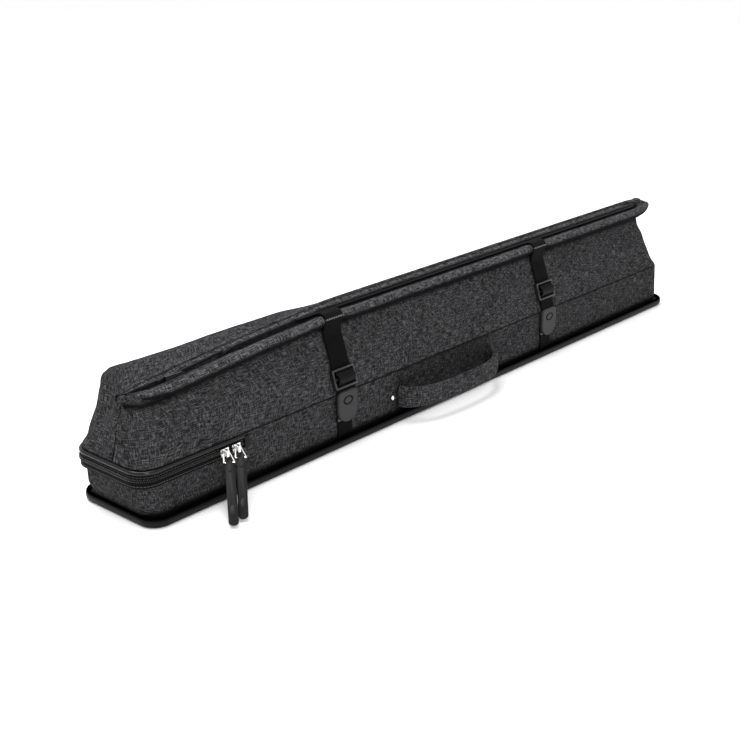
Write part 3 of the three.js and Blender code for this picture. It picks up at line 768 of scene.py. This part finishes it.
rim_rubber = moulded_rubber("rim_rubber", 0.0034, 0.42, shaded_above=8.4 * MM)
rim_half_x, rim_half_y = rim_high.x / MM + 1.6, rim_high.y / MM + 1.4
RIM_CORNER, RIM_TOP, RIM_INNER = 18, rim_high.z / MM + 1.2, 12
roll_turns = np.linspace(0.12, math.pi * 0.93, 14)
roll = [(-3.2 + 3.2 * math.sin(a) ** 0.7, 5.2 - 5.0 * math.cos(a)) for a in roll_turns]
rim_groove = [(-4.6, RIM_TOP - 0.9), (-5.2, RIM_TOP - 3.0), (-6.0, RIM_TOP - 3.4)]
rim_profile = ([(-RIM_INNER, 0.0), (-4.4, 0.0)] + roll + rim_groove
               + [(-RIM_INNER, RIM_TOP - 0.4), (-RIM_INNER, 0.0)])
rim_points = sweep_round(rim_profile, rim_half_x, rim_half_y, RIM_CORNER) * MM
rim_bm = lay_grid(rim_points, wrap_across=True)
rim = make_piece("rolled_rim", rim_bm, rim_rubber)
subdivide(rim)
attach(rim, "shell")
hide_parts("base_rim")

# %% Lower walls
wall_low, wall_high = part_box("front_wall")
near_wall_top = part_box("near_end_wall")[1].z / MM
wall_half_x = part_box("far_end_wall")[1].x / MM
wall_half_y = -wall_low.y / MM
zip_stop_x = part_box("zip_stop_front")[0].x / MM
WALL_CORNER = 17
wall_outline, wall_outs = round_outline(wall_half_x, wall_half_y, WALL_CORNER, side_cells=160)
wall_rows = []
tops = np.where(wall_outline[:, 0] < zip_stop_x - 0.6, near_wall_top, wall_high.z / MM)
for share in np.linspace(0, 1, 12):
    heights = 7.0 + (tops - 7.0) * share
    taper = -1.2 * (1 - heights / 54.2)
    wobble = np.array([0.35 * noise.noise(Vector((x * 0.02, y * 0.05, h * 0.05)))
                       for (x, y), h in zip(wall_outline[:-1], heights)])
    wobble = np.append(wobble, wobble[0]) * math.sin(math.pi * share)
    spread = wall_outline + wall_outs * (taper + wobble)[:, None]
    spread[:, 0] += (2.2 - 8.0 * share) * smooth((wall_outline[:, 0] - 395) / 30)
    wall_rows.append(bow_out(np.column_stack([spread, heights])))
top_edge = wall_rows[-1]
for inward, height in ((1.2, tops + 0.15), (3.6, tops), (3.8, np.full(len(tops), 9.4))):
    wall_rows.append(np.column_stack([top_edge[:, :2] - wall_outs * inward, height]))
wall_points = np.stack(wall_rows) * MM
# Painted shade: the seams layer's second axis darkens the wall towards its foot, above the rim.
wall_shade = np.stack([np.ones(wall_points.shape[:2]), (wall_points[..., 2] - 8.5 * MM) * 0.55], axis=2)
wall_uv = pair_up(along(wall_points[5])[None, :], along(wall_points[:, 80])[:, None])
walls_bm = lay_grid(wall_points, wall_uv, wrap_across=True, shade=wall_shade)
face_away_from(walls_bm, Vector((0, 0, 30 * MM)))
walls = make_piece("lower_walls", walls_bm, wall_cloth, soft=False)
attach(walls, "shell")
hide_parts("front_wall", "rear_wall", "near_end_wall", "far_end_wall")
print("walls are", round(wall_high.z * 1000), "mm high, and", round(near_wall_top), "mm under the zip")

# %% [markdown]
# ## The zip round the near end
# The zip is two woven tapes with a nylon coil between them. The lower tape is stitched to the
# wall and the upper one to the flap, and a glossy corded piping covers the upper edge. The coil is
# modelled loop by loop, because its ridges catch the light, and each row of loops follows its
# own tape when the flap opens.

# %% Path of the zip
zip_low, zip_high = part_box("zip_tape_lower")
ZIP_END_X = zip_high.x / MM
ZIP_HALF_X, ZIP_HALF_Y, ZIP_CORNER = -zip_low.x / MM, zip_high.y / MM, 18


def near_end_path(step):
    """Evenly spaced points and outward directions, from the front stop round to the rear one."""
    chosen, outs = [], []
    for x in np.arange(ZIP_END_X, -ZIP_HALF_X + ZIP_CORNER, -step):
        chosen.append((x, -ZIP_HALF_Y))
        outs.append((0, -1))
    for centre_y, first in ((-ZIP_HALF_Y + ZIP_CORNER, -90), (ZIP_HALF_Y - ZIP_CORNER, -180)):
        turn = math.pi / 2 * ZIP_CORNER
        for share in np.arange(0, turn, step) / turn:
            angle = math.radians(first - 90 * share)
            out = (math.cos(angle), math.sin(angle))
            chosen.append((-ZIP_HALF_X + ZIP_CORNER + ZIP_CORNER * out[0], centre_y + ZIP_CORNER * out[1]))
            outs.append(out)
        if centre_y < 0:
            for y in np.arange(centre_y, -centre_y, step):
                chosen.append((-ZIP_HALF_X, y))
                outs.append((-1, 0))
    for x in np.arange(-ZIP_HALF_X + ZIP_CORNER, ZIP_END_X, step):
        chosen.append((x, ZIP_HALF_Y))
        outs.append((0, 1))
    return np.array(chosen), np.array(outs)


def sweep_near_end(name, profile, material, step=3.0):
    """A closed profile of (out, z) pairs swept round the near end, capped at both stops."""
    path, outs = near_end_path(step)
    closed = list(profile) + [profile[0]]
    rings = [np.column_stack([path + outs * out, np.full(len(path), z)]) for out, z in closed]
    points = bow_out(np.stack(rings)) * MM
    uv = pair_up(along(points[0])[None, :], along(points[:, 0])[:, None])
    return make_piece(name, lay_grid(points, uv, wrap_up=True, cap=True), material, soft=False)


# %% Webbing, tape and trim materials


def woven_band(name, shade, along_pitch, across_pitch, rows=(), thread=0.06, gloss=0.62):
    """A ribbed band. `rows` are the heights, in metres on the UV's V axis, of its rows of stitches."""
    n = Nodes(name)
    uv = n.add("ShaderNodeUVMap", uv_map="UVMap").outputs[0]
    ribs = [n.add("ShaderNodeTexWave", {"Vector": uv, "Scale": 2 * math.pi / 20 / pitch},
                  bands_direction=direction).outputs["Fac"]
            for pitch, direction in ((along_pitch, "X"), (across_pitch, "Y"))]
    weave = n.math("MULTIPLY", ribs[0], ribs[1])
    worn = n.noise(n.place(uv, (120, 120, 1)), 3.0, 0.6)
    height = n.math("ADD", weave, n.math("MULTIPLY", worn, 0.3))
    colour = n.ramp(height, [(0.1, shade * 0.55), (0.5, shade), (0.95, shade * 1.9)])
    axes = n.add("ShaderNodeSeparateXYZ", {0: uv}).outputs
    for row in rows:
        gap = n.math("ABSOLUTE", n.math("SUBTRACT", axes[1], row))
        beside = n.math("LESS_THAN", gap, 0.00035)
        dash = n.math("LESS_THAN", n.math("MODULO", n.math("ADD", axes[0], 1.0), 0.0031), 0.0023)
        stitch = n.math("MULTIPLY", beside, dash)
        colour = n.mix(stitch, colour, thread)
        height = n.math("ADD", height, n.math("MULTIPLY", stitch, 1.2))
    return n.finish(colour, gloss, n.bump(height, 0.0002, 0.8), Specular_IOR_Level=0.05)


def hard_surface(name, shade, roughness, metal=0.0, tint=(1, 1, 1), shine=0.14):
    """Moulded plastic or metal: even, with fine mould grain and a few rubbed places."""
    n = Nodes(name)
    where = n.add("ShaderNodeTexCoord").outputs["Object"]
    grain = n.noise(n.place(where, (2600, 2600, 2600)), 2.0, 0.5)
    rub = n.noise(n.place(where, (140, 140, 420)), 4.0, 0.65)
    shades = [tuple(shade * wear * t for t in tint) for wear in (0.85, 1.15)]
    colour = n.ramp(rub, [(0.3, shades[0]), (0.7, shades[1])])
    rough = n.math("ADD", n.math("MULTIPLY", rub, 0.1), roughness - 0.05)
    level = 0.5 if metal else shine
    return n.finish(colour, rough, n.bump(grain, 0.00004, 0.4), Metallic=metal, Specular_IOR_Level=level)


tape_cloth = woven_band("zip_tape_weave", 0.002, 0.0011, 0.0009, rows=(0.0022,))
coil_nylon = hard_surface("coil_nylon", 0.006, 0.24, shine=0.35)
gloss_cord = hard_surface("piping_vinyl", 0.004, 0.2, shine=0.25)
dark_nickel = hard_surface("dark_nickel", 0.008, 0.3, metal=1.0)
chrome = hard_surface("bright_nickel", 0.78, 0.14, metal=1.0, tint=(1, 0.99, 0.97))
buckle_plastic = hard_surface("buckle_plastic", 0.008, 0.24, shine=0.5)
groove_shade = hard_surface("groove_shade", 0.002, 0.6, shine=0.05)
snap_plastic = hard_surface("snap_plastic", 0.022, 0.42, tint=(1, 0.98, 1.03))
tab_rubber = hard_surface("tab_rubber", 0.006, 0.38)

# %% Tapes and piping
lower_tape = sweep_near_end("zip_tape_lower_cloth", [
    (-0.2, 38.5), (0.25, 39.2), (0.45, 41.5), (0.3, 44.6), (-0.3, 45.2), (-0.3, 46.1), (-2.9, 46.1),
    (-2.9, 38.5)], tape_cloth)
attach(lower_tape, "shell")
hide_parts("zip_tape_lower")

upper_tape = sweep_near_end("zip_tape_upper_cloth", [
    (-0.3, 46.8), (-0.3, 47.7), (0.3, 48.2), (0.4, 50.8), (0.0, 54.6), (-2.9, 54.6),
    (-2.9, 46.8)], tape_cloth)
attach(upper_tape, "end_flap")
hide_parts("zip_tape_upper")

piping = sweep_near_end("corded_piping", ellipse(0.4, 52.75, 2.1, 2.0, 14), gloss_cord, step=2.0)
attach(piping, "end_flap")
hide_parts("flap_piping")

# %% The coil, loop by loop
COIL_PITCH = 1.5


def bevel_edges(bm, offset, segments=2):
    bmesh.ops.bevel(bm, geom=bm.edges[:], offset=offset, segments=segments, profile=0.5, affect="EDGES",
                    material=-1)


def coil_row(name, height, phase, body, node):
    path, outs = near_end_path(0.25)
    walked = along(path)
    bm = bmesh.new()
    for distance in np.arange(COIL_PITCH * (0.5 + phase), walked[-1] - 1, COIL_PITCH):
        k = int(np.searchsorted(walked, distance))
        place, out = path[k], outs[k]
        turn = Matrix.Rotation(math.atan2(out[1], out[0]), 4, "Z")
        spot = Matrix.Translation(Vector(bow_out(np.array([*(place + out * 0.95), height]))) * MM)
        lean = Matrix.Rotation(0.28 if phase else -0.28, 4, "X")
        size = Matrix.Diagonal((1.7 * MM, 0.95 * MM, 1.75 * MM, 1))
        bmesh.ops.create_cube(bm, size=1.0, matrix=spot @ turn @ lean @ size)
    bevel_edges(bm, 0.28 * MM, 1)
    print(name, "has", len(bm.faces), "faces")
    piece = make_piece(name, bm, coil_nylon)
    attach(piece, body)
    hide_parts(node)


coil_row("coil_lower", 45.55, 0.0, "shell", "zip_teeth_lower")
coil_row("coil_upper", 47.35, 0.5, "end_flap", "zip_teeth_upper")

# %% [markdown]
# ## Sliders and rubber pulls
# Two nickel sliders meet near the front stop. Each carries a wire bail, and on the bail hangs a
# long rubber pull with an eyelet at the top and a raised rounded ornament near the tip.
# The pull leans from the bail to the floor, so its own width, length and face directions are
# measured from the solid, and the shape is drawn in those.

# %% Directions measured from a solid


def measured_axes(node):
    """Centre, long, middle and short directions of a solid, with half its size along each."""
    solid = bpy.data.objects[node]
    place = np.array(solid.matrix_world)
    points = np.array([vert.co for vert in solid.data.vertices]) @ place[:3, :3].T + place[:3, 3]
    axes = np.linalg.eigh(np.cov((points - points.mean(0)).T))[1][:, ::-1].T
    lows, highs = (points @ axes.T).min(0), (points @ axes.T).max(0)
    return (lows + highs) / 2 @ axes, axes, (highs - lows) / 2


def outline_slab(outline, thickness):
    """A flat slab from an outline in XY, in millimetres."""
    bm = bmesh.new()
    ring = [bm.verts.new((x, y, -thickness / 2)) for x, y in outline]
    face = bm.faces.new(ring)
    out = bmesh.ops.extrude_face_region(bm, geom=[face])
    moved = [g for g in out["geom"] if isinstance(g, bmesh.types.BMVert)]
    bmesh.ops.translate(bm, verts=moved, vec=(0, 0, thickness))
    bmesh.ops.recalc_face_normals(bm, faces=bm.faces)
    return bm


def add_detail(bm, detail, lift):
    """Rounds a small slab, lifts it and adds it to a bigger mesh."""
    bevel_edges(detail, 0.14)
    bmesh.ops.translate(detail, verts=detail.verts, vec=(0, 0, lift))
    mesh = bpy.data.meshes.new("detail")
    detail.to_mesh(mesh)
    detail.free()
    bm.from_mesh(mesh)
    bpy.data.meshes.remove(mesh)


def pull_tab(side):
    node = "zip_tab_" + side
    middle, (long_way, wide, thin), half = measured_axes(node)
    long_way = long_way if long_way[2] < 0 else -long_way
    thin = thin if thin[1] < 0 else -thin
    wide = np.cross(long_way, thin)
    reach, half_width, half_thick = half / MM
    top, tip = -reach, reach
    outline = [(-2.9, top), (2.9, top), (2.9, top + 4.4), (half_width, top + 7.4), (half_width, tip - 3.4)]
    tip_turns = np.linspace(0.3, math.pi - 0.3, 8)
    outline += [(half_width * math.cos(a), tip - 3.4 + 3.4 * math.sin(a)) for a in tip_turns]
    outline += [(-half_width, tip - 3.4), (-half_width, top + 7.4), (-2.9, top + 4.4)]
    face = 0.92 * half_thick
    bm = outline_slab(outline, 2 * face)
    bevel_edges(bm, 0.32)
    add_detail(bm, outline_slab(ellipse(0, tip - 14, 2.5, 6.0), 0.5), face + 0.12)
    add_detail(bm, outline_slab(ellipse(0, top + 10.6, 1.9, 1.9, 20), 0.36), face + 0.05)
    basis = Matrix((Vector(wide), Vector(long_way), Vector(thin))).transposed().to_4x4()
    bm.transform(Matrix.Translation(Vector(middle)) @ basis @ Matrix.Scale(MM, 4))
    bmesh.ops.recalc_face_normals(bm, faces=bm.faces)
    piece = make_piece("pull_tab_" + side, bm, tab_rubber, soft=False)
    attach(piece, node)
    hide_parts(node)


pull_tab("a")
pull_tab("b")
print("the pulls hang from their bails")

# %% [markdown]
# ## Straps
# Each strap comes up out of the slot, bends over the front lip and runs down the cover through a
# ladder adjuster to a snap. The band is woven, so it is modelled as a flat section
# carried along the side view of its real path, and its ribs come from its material.

# %% Bands of webbing


def band_section(width, thickness):
    """A flat section with rounded edges, as (across, up) pairs."""
    edge = thickness / 2
    reach = width / 2 - edge
    across = np.linspace(-reach, reach, 14)
    right = [(reach + edge * math.cos(a), edge * math.sin(a)) for a in (math.pi / 4, 0, -math.pi / 4)]
    left = [(-x, -y) for x, y in right]
    return [(x, edge) for x in across] + right + [(x, -edge) for x in across[::-1]] + left


def webbing_band(name, path, x, width, thickness, material):
    """A band whose middle follows a path of (y, z) pairs."""
    path = curve_through(path, max(12, int(along(np.array(path, float))[-1] / 1.5)))
    forward = np.gradient(path, axis=0)
    forward /= np.linalg.norm(forward, axis=1, keepdims=True)
    out = np.column_stack([-forward[:, 1], forward[:, 0]])
    section = band_section(width, thickness)
    section = section + section[:1]
    points = np.array([[(x + a, *(p + o * b)) for a, b in section] for p, o in zip(path, out)]) * MM
    u = np.array([a for a, _ in section]) * MM
    v = along(path) * MM
    uv = pair_up(u[None, :], v[:, None])
    return make_piece(name, lay_grid(points, uv, wrap_across=True, cap=True), material, soft=False)


# %% Webbings, and the slope they lie on
strap_webbing = woven_band("strap_webbing", 0.0010, 0.0020, 0.0016)
plain_webbing = woven_band("plain_webbing", 0.0010, 0.0020, 0.0016)
# Painted highlight: the loop over the adjuster's bar is the strap's webbing painted four times lighter, for
# its shine.
lit_loop_webbing = woven_band("lit_loop_webbing", 0.004, 0.0022, 0.0018, gloss=0.4)
# Painted highlight: the hem over the lip is the strap's webbing painted lighter, for the light on its top;
# its two stitch rows are real thread.
lit_hem_webbing = woven_band("lit_hem_webbing", 0.0028, 0.0020, 0.0016, rows=(0.0128, 0.0136), thread=0.12)
FOOT_Y, FOOT_Z = -46, 54.5
SLOPE = math.atan2(122 - FOOT_Z, -24 - FOOT_Y)
LIP_CENTRE = (-27.3, 126.3)


def on_slope(z, out):
    """A point on the front panel at height z, lifted off it by `out`."""
    run = (z - FOOT_Z) / math.sin(SLOPE)
    return FOOT_Y + run * math.cos(SLOPE) - out * math.sin(SLOPE), z + out * math.cos(SLOPE)


def over_lip(radius, first, last, count=9):
    turns = np.radians(np.linspace(first, last, count))
    return [(LIP_CENTRE[0] + radius * math.cos(a), LIP_CENTRE[1] + radius * math.sin(a)) for a in turns]


def boxes_on_slope(x, boxes, bevel):
    """Bevelled bars given as (x0, x1, up0, up1, out0, out1) on the sloping panel."""
    bm = bmesh.new()
    origin = Matrix.Translation(Vector((x, FOOT_Y, FOOT_Z)) * MM) @ Matrix.Rotation(SLOPE, 4, "X")
    for x0, x1, y0, y1, z0, z1 in boxes:
        size = Matrix.Diagonal(((x1 - x0) * MM, (y1 - y0) * MM, (z1 - z0) * MM, 1))
        middle = Matrix.Translation(Vector((x0 + x1, y0 + y1, z0 + z1)) / 2 * MM)
        bmesh.ops.create_cube(bm, size=1.0, matrix=origin @ middle @ size)
    bevel_edges(bm, bevel * MM, 3)
    return bm


def groove_share(px, pz):
    """How deep in the thumb groove a point is: a plain closed oval."""
    return math.exp(-((math.hypot(px / 1.5, pz) - 3.9) / 0.75) ** 2)


def make_snap(side, x):
    """The snap's tongue: a domed face with an oval thumb groove, on a flat back."""
    low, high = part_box(side + "_snap")
    z0, z1, back, half = low.z / MM, high.z / MM, high.y / MM, (high.x - low.x) / 2 / MM
    rows = []
    round_end = z0 + 13.5 * (1 - np.cos(np.linspace(0.06, math.pi / 2, 26)))
    for z in np.concatenate([round_end, np.linspace(z0 + 14.2, z1, 34)]):
        drop = max(0, z0 + 13.5 - z)
        over = max(0, z - (z1 - 5)) / 5
        w = half * math.sqrt(max(0.002, 1 - (drop / 13.5) ** 2)) - 5 * (1 - math.sqrt(max(0, 1 - over ** 2)))
        front = []
        for s in np.linspace(-1, 1, 45):
            px = w * s
            rim = min(1, (w - abs(px)) / 1.3) * min(1, max(0, (z1 - z)) / 1.2) * min(1, (z - z0 + 0.1) / 1.2)
            depth = 2.1 + 0.9 * math.sqrt(max(0, 1 - (1 - rim) ** 2))
            depth -= 0.8 * groove_share(px, z - (z1 - 10))
            front.append((x + px, back - depth, z))
        rows.append(front + [(x + w, back, z), (x, back, z), (x - w, back, z), front[0]])
    points = np.array(rows) * MM
    snap_bm = lay_grid(points, None, wrap_across=True, cap=True)
    piece = make_piece(side + "_snap_tongue", snap_bm, snap_plastic, soft=False)
    piece.data.materials.append(groove_shade)
    for polygon in piece.data.polygons:
        spot = polygon.center / MM
        if spot.y < back - 1 and groove_share(spot.x - x, spot.z - (z1 - 10)) > 0.5:
            polygon.material_index = 1
    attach(piece, side + "_strap")
    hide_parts(side + "_snap")


# %% Both straps
for side in ("near", "far"):
    low, high = straps[side]
    x = (low.x + high.x) / 2 / MM
    down = [on_slope(z, 3.7) for z in (112, 100, 88, 76, 66, 59.5)]
    path = [(-19.6, 119.5)] + over_lip(6.1, 42, 176) + down + [(-49.6, 56.5)]
    band = webbing_band(side + "_webbing", path, x, 25, 1.3, strap_webbing)
    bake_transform(band)
    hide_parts(side + "_strap_root", side + "_strap_webbing")

    hem = webbing_band(side + "_hem", over_lip(7.3, 60, 172), x, 24.4, 1.1, lit_hem_webbing)
    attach(hem, "shell")

    foot_path = [(-46.9, 26.5), (-47.0, 18), (-46.9, 9.5)]
    lower = webbing_band(side + "_lower_webbing", foot_path, x, 20, 1.3, plain_webbing)
    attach(lower, "shell")
    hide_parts(side + "_strap_lower")

    make_snap(side, x)

    start = (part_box(side + "_adjuster")[0].z / MM - FOOT_Z) / math.sin(SLOPE) - 0.4
    bars = [(-15.4, -13.2, start, start + 20, 1.6, 7.0), (13.2, 15.4, start, start + 20, 1.6, 7.0),
            (-15.2, 15.2, start, start + 2.2, 4.8, 7.4), (-15.2, 15.2, start + 17.8, start + 20, 4.8, 7.4),
            (-15.2, 15.2, start + 8.4, start + 11.6, 4.7, 6.9)]
    adjuster = make_piece(side + "_ladder_adjuster", boxes_on_slope(x, bars, 0.7), buckle_plastic, soft=False)
    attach(adjuster, side + "_adjuster")
    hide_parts(side + "_adjuster")

    middle = start + 10
    lift = [(-7, 4.9), (-5.4, 6.8), (-3, 9.2), (0, 10.0), (3, 9.2), (5.4, 6.8), (7, 4.9)]
    loop_path = [on_slope(FOOT_Z + (middle - up) * math.sin(SLOPE), out) for up, out in lift]
    loop = webbing_band(side + "_adjuster_loop", loop_path, x, 23, 1.1, lit_loop_webbing)
    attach(loop, side + "_adjuster")
print("both straps run from the slot to their snaps")

# %% [markdown]
# ## The handle
# A padded band of the same cloth, stitched along both edges, is fed through two slits in the wall
# and held by rivets. It bows out in the middle. The wall behind it is a darker, slightly sunken
# panel. The band is one fixed shape, with its two ends at the slits and its middle lifted off the wall.

# %% Grip
grip_line = curve_through([
    (-104.5, -48.4, 27.5), (-103.2, -53.5, 27.5), (-97, -61, 27.5), (-80, -70.3, 27.5), (-50, -74.6, 27.5),
    (-12, -75.4, 27.5), (20, -72.6, 27.5), (41, -63, 27.5), (50, -53.5, 27.5), (51.2, -48.4, 27.5)], 96)
grip_section = []
for a in np.linspace(0, 2 * math.pi, 44, endpoint=False):
    c, s = math.cos(a), math.sin(a)
    out = 3.7 * math.copysign(abs(c) ** 0.45, c)
    up = 10.4 * math.copysign(abs(s) ** 0.55, s)
    groove = 0.55 * math.exp(-((abs(up) - 8.6) / 0.55) ** 2)
    grip_section.append((out - math.copysign(groove, out) if abs(out) > 1 else out, up))


def grip_size(t):
    near_wall = max(math.exp(-(t / 0.05) ** 2), math.exp(-((1 - t) / 0.05) ** 2))
    flare = 1 + 0.16 * math.exp(-(t / 0.09) ** 2)
    plump = 1 + 0.1 * noise.noise(Vector((t * 22, 2.0, 0)))
    return (1 - 0.45 * near_wall) * plump, flare * (1 - 0.05 * near_wall)


grip_points = carry(grip_line, grip_section, grip_size) * MM
grip_bm = lay_grid(grip_points, carried_uv(grip_points), wrap_across=True, cap=True)
grip_cloth = heather_cloth("grip_cloth", 0.019, 0.040)
grip = make_piece("padded_grip", grip_bm, grip_cloth)
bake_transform(grip)
subdivide(grip)
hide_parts("handle_grip")

# %% Sunken panel, anchor tabs and rivets
dark_cloth = heather_cloth("panel_cloth", 0.0115, 0.025)
PATCH_CORNER = 3


def wall_patch(name, x0, x1, z0, z1, proud, material, cells=(60, 18)):
    """A thin patch with rounded corners lying on the front wall."""
    rows = []
    for z in np.linspace(z0, z1, cells[1]):
        edge = max(0, PATCH_CORNER - min(z - z0, z1 - z))
        inset = PATCH_CORNER - math.sqrt(max(0, PATCH_CORNER ** 2 - edge ** 2))
        rows.append([(x, FOOT_Y, z) for x in np.linspace(x0 + inset, x1 - inset, cells[0])])
    front = np.array(rows)
    bulge = np.ones(front.shape[:2])
    bulge[[0, -1]] = 0.25
    bulge[:, [0, -1]] = 0.25
    front[..., 1] -= proud * bulge
    uv = np.stack([front[..., 0], front[..., 2]], axis=2) * MM
    bm = lay_grid(front * MM, uv)
    face_away_from(bm, Vector((0, 0, 30 * MM)))
    piece = make_piece(name, bm, material, soft=False)
    finish_with(piece, "SOLIDIFY", thickness=0.5 * MM, offset=-1)
    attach(piece, "shell")
    return piece


wall_patch("handle_panel", -105, 52, 12.0, 53.0, 0.5, dark_cloth)
for side in ("near", "far"):
    (x0, _, z0), (x1, _, z1) = (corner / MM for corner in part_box("handle_anchor_" + side))
    patch = wall_patch("handle_tab_" + side, x0, x1, z0, z1, 0.4, patch_cloth, (14, 22))
    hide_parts("handle_anchor_" + side)
    low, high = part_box("handle_rivet_" + side)
    bm = bmesh.new()
    centre = (low + high) / 2
    bmesh.ops.create_uvsphere(bm, u_segments=24, v_segments=12, radius=1.0)
    place = Matrix.Translation((centre.x, -47.8 * MM, centre.z))
    bm.transform(place @ Matrix.Diagonal((2.8 * MM, 1.6 * MM, 2.8 * MM, 1)))
    rivet = make_piece("rivet_" + side, bm, chrome)
    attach(rivet, "shell")
    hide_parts("handle_rivet_" + side)

# %% [markdown]
# ## What is left: hard parts and the inside
# Sliders, bails, stops, the base board and the compartments keep the solids' own shapes, because
# those shapes are already right at this size. They only need a surface each: bright nickel,
# moulded plastic, coated board and a short dark pile.

# %% Surfaces for the remaining solids


def pile_lining(name, shade):
    n = Nodes(name)
    where = n.add("ShaderNodeTexCoord").outputs["Object"]
    pile = n.noise(n.place(where, (1400, 1400, 1400)), 3.0, 0.6)
    brushed = n.noise(n.place(where, (35, 35, 35)), 3.0, 0.6)
    mixed = n.math("ADD", n.math("MULTIPLY", pile, 0.4), n.math("MULTIPLY", brushed, 0.6))
    colour = n.ramp(mixed, [(0.3, shade * 0.6), (0.55, shade), (0.8, shade * 1.8)])
    return n.finish(colour, 0.95, n.bump(pile, 0.0004, 0.6), Sheen_Weight=0.5, Sheen_Roughness=0.4)


pouch_coil = hard_surface("pouch_coil", 0.0025, 0.4, shine=0.1)
lining = pile_lining("pile_lining", 0.010)

# The pad at the far end leans in with the wall that it is glued to.
pad_low, pad_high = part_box("far_end_pad")
pad_bm = bmesh.new()
bmesh.ops.create_cube(pad_bm, size=1)
bmesh.ops.subdivide_edges(pad_bm, edges=pad_bm.edges[:], cuts=5, use_grid_fill=True)
for vert in pad_bm.verts:
    share = [vert.co[k] + 0.5 for k in range(3)]
    vert.co = Vector([pad_low[k] + (pad_high[k] - pad_low[k]) * share[k] for k in range(3)])
    vert.co.x -= (0.6 + 6.4 * smooth((vert.co.z / MM - 8) / 46)) * MM
end_pad = make_piece("far_end_cushion", pad_bm, lining)
subdivide(end_pad)
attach(end_pad, "shell")
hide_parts("far_end_pad")

FINISHES = {
    lining: (
        "floor_liner", "side_liner_front", "side_liner_rear", "butt_divider", "cue_shelf",
        "shaft_divider_front", "shaft_divider_middle", "shaft_divider_rear", "pouch_floor"),
    hard_surface("coated_board", 0.018, 0.6): ("base_board",),
    chrome: ("zip_slider_a", "zip_slider_b", "zip_bail_a", "zip_bail_b"),
    dark_nickel: ("pouch_zip_slider",),
    pouch_coil: ("pouch_zip_chain", "flap_pouch_zip_chain", "zip_stop_front", "zip_stop_rear"),
    buckle_plastic: ("near_snap_base", "far_snap_base"),
}
for material, names in FINISHES.items():
    for name in names:
        node = bpy.data.objects[name]
        node.data.materials.clear()
        node.data.materials.append(material)
print("finished", sum(len(names) for names in FINISHES.values()), "solids")
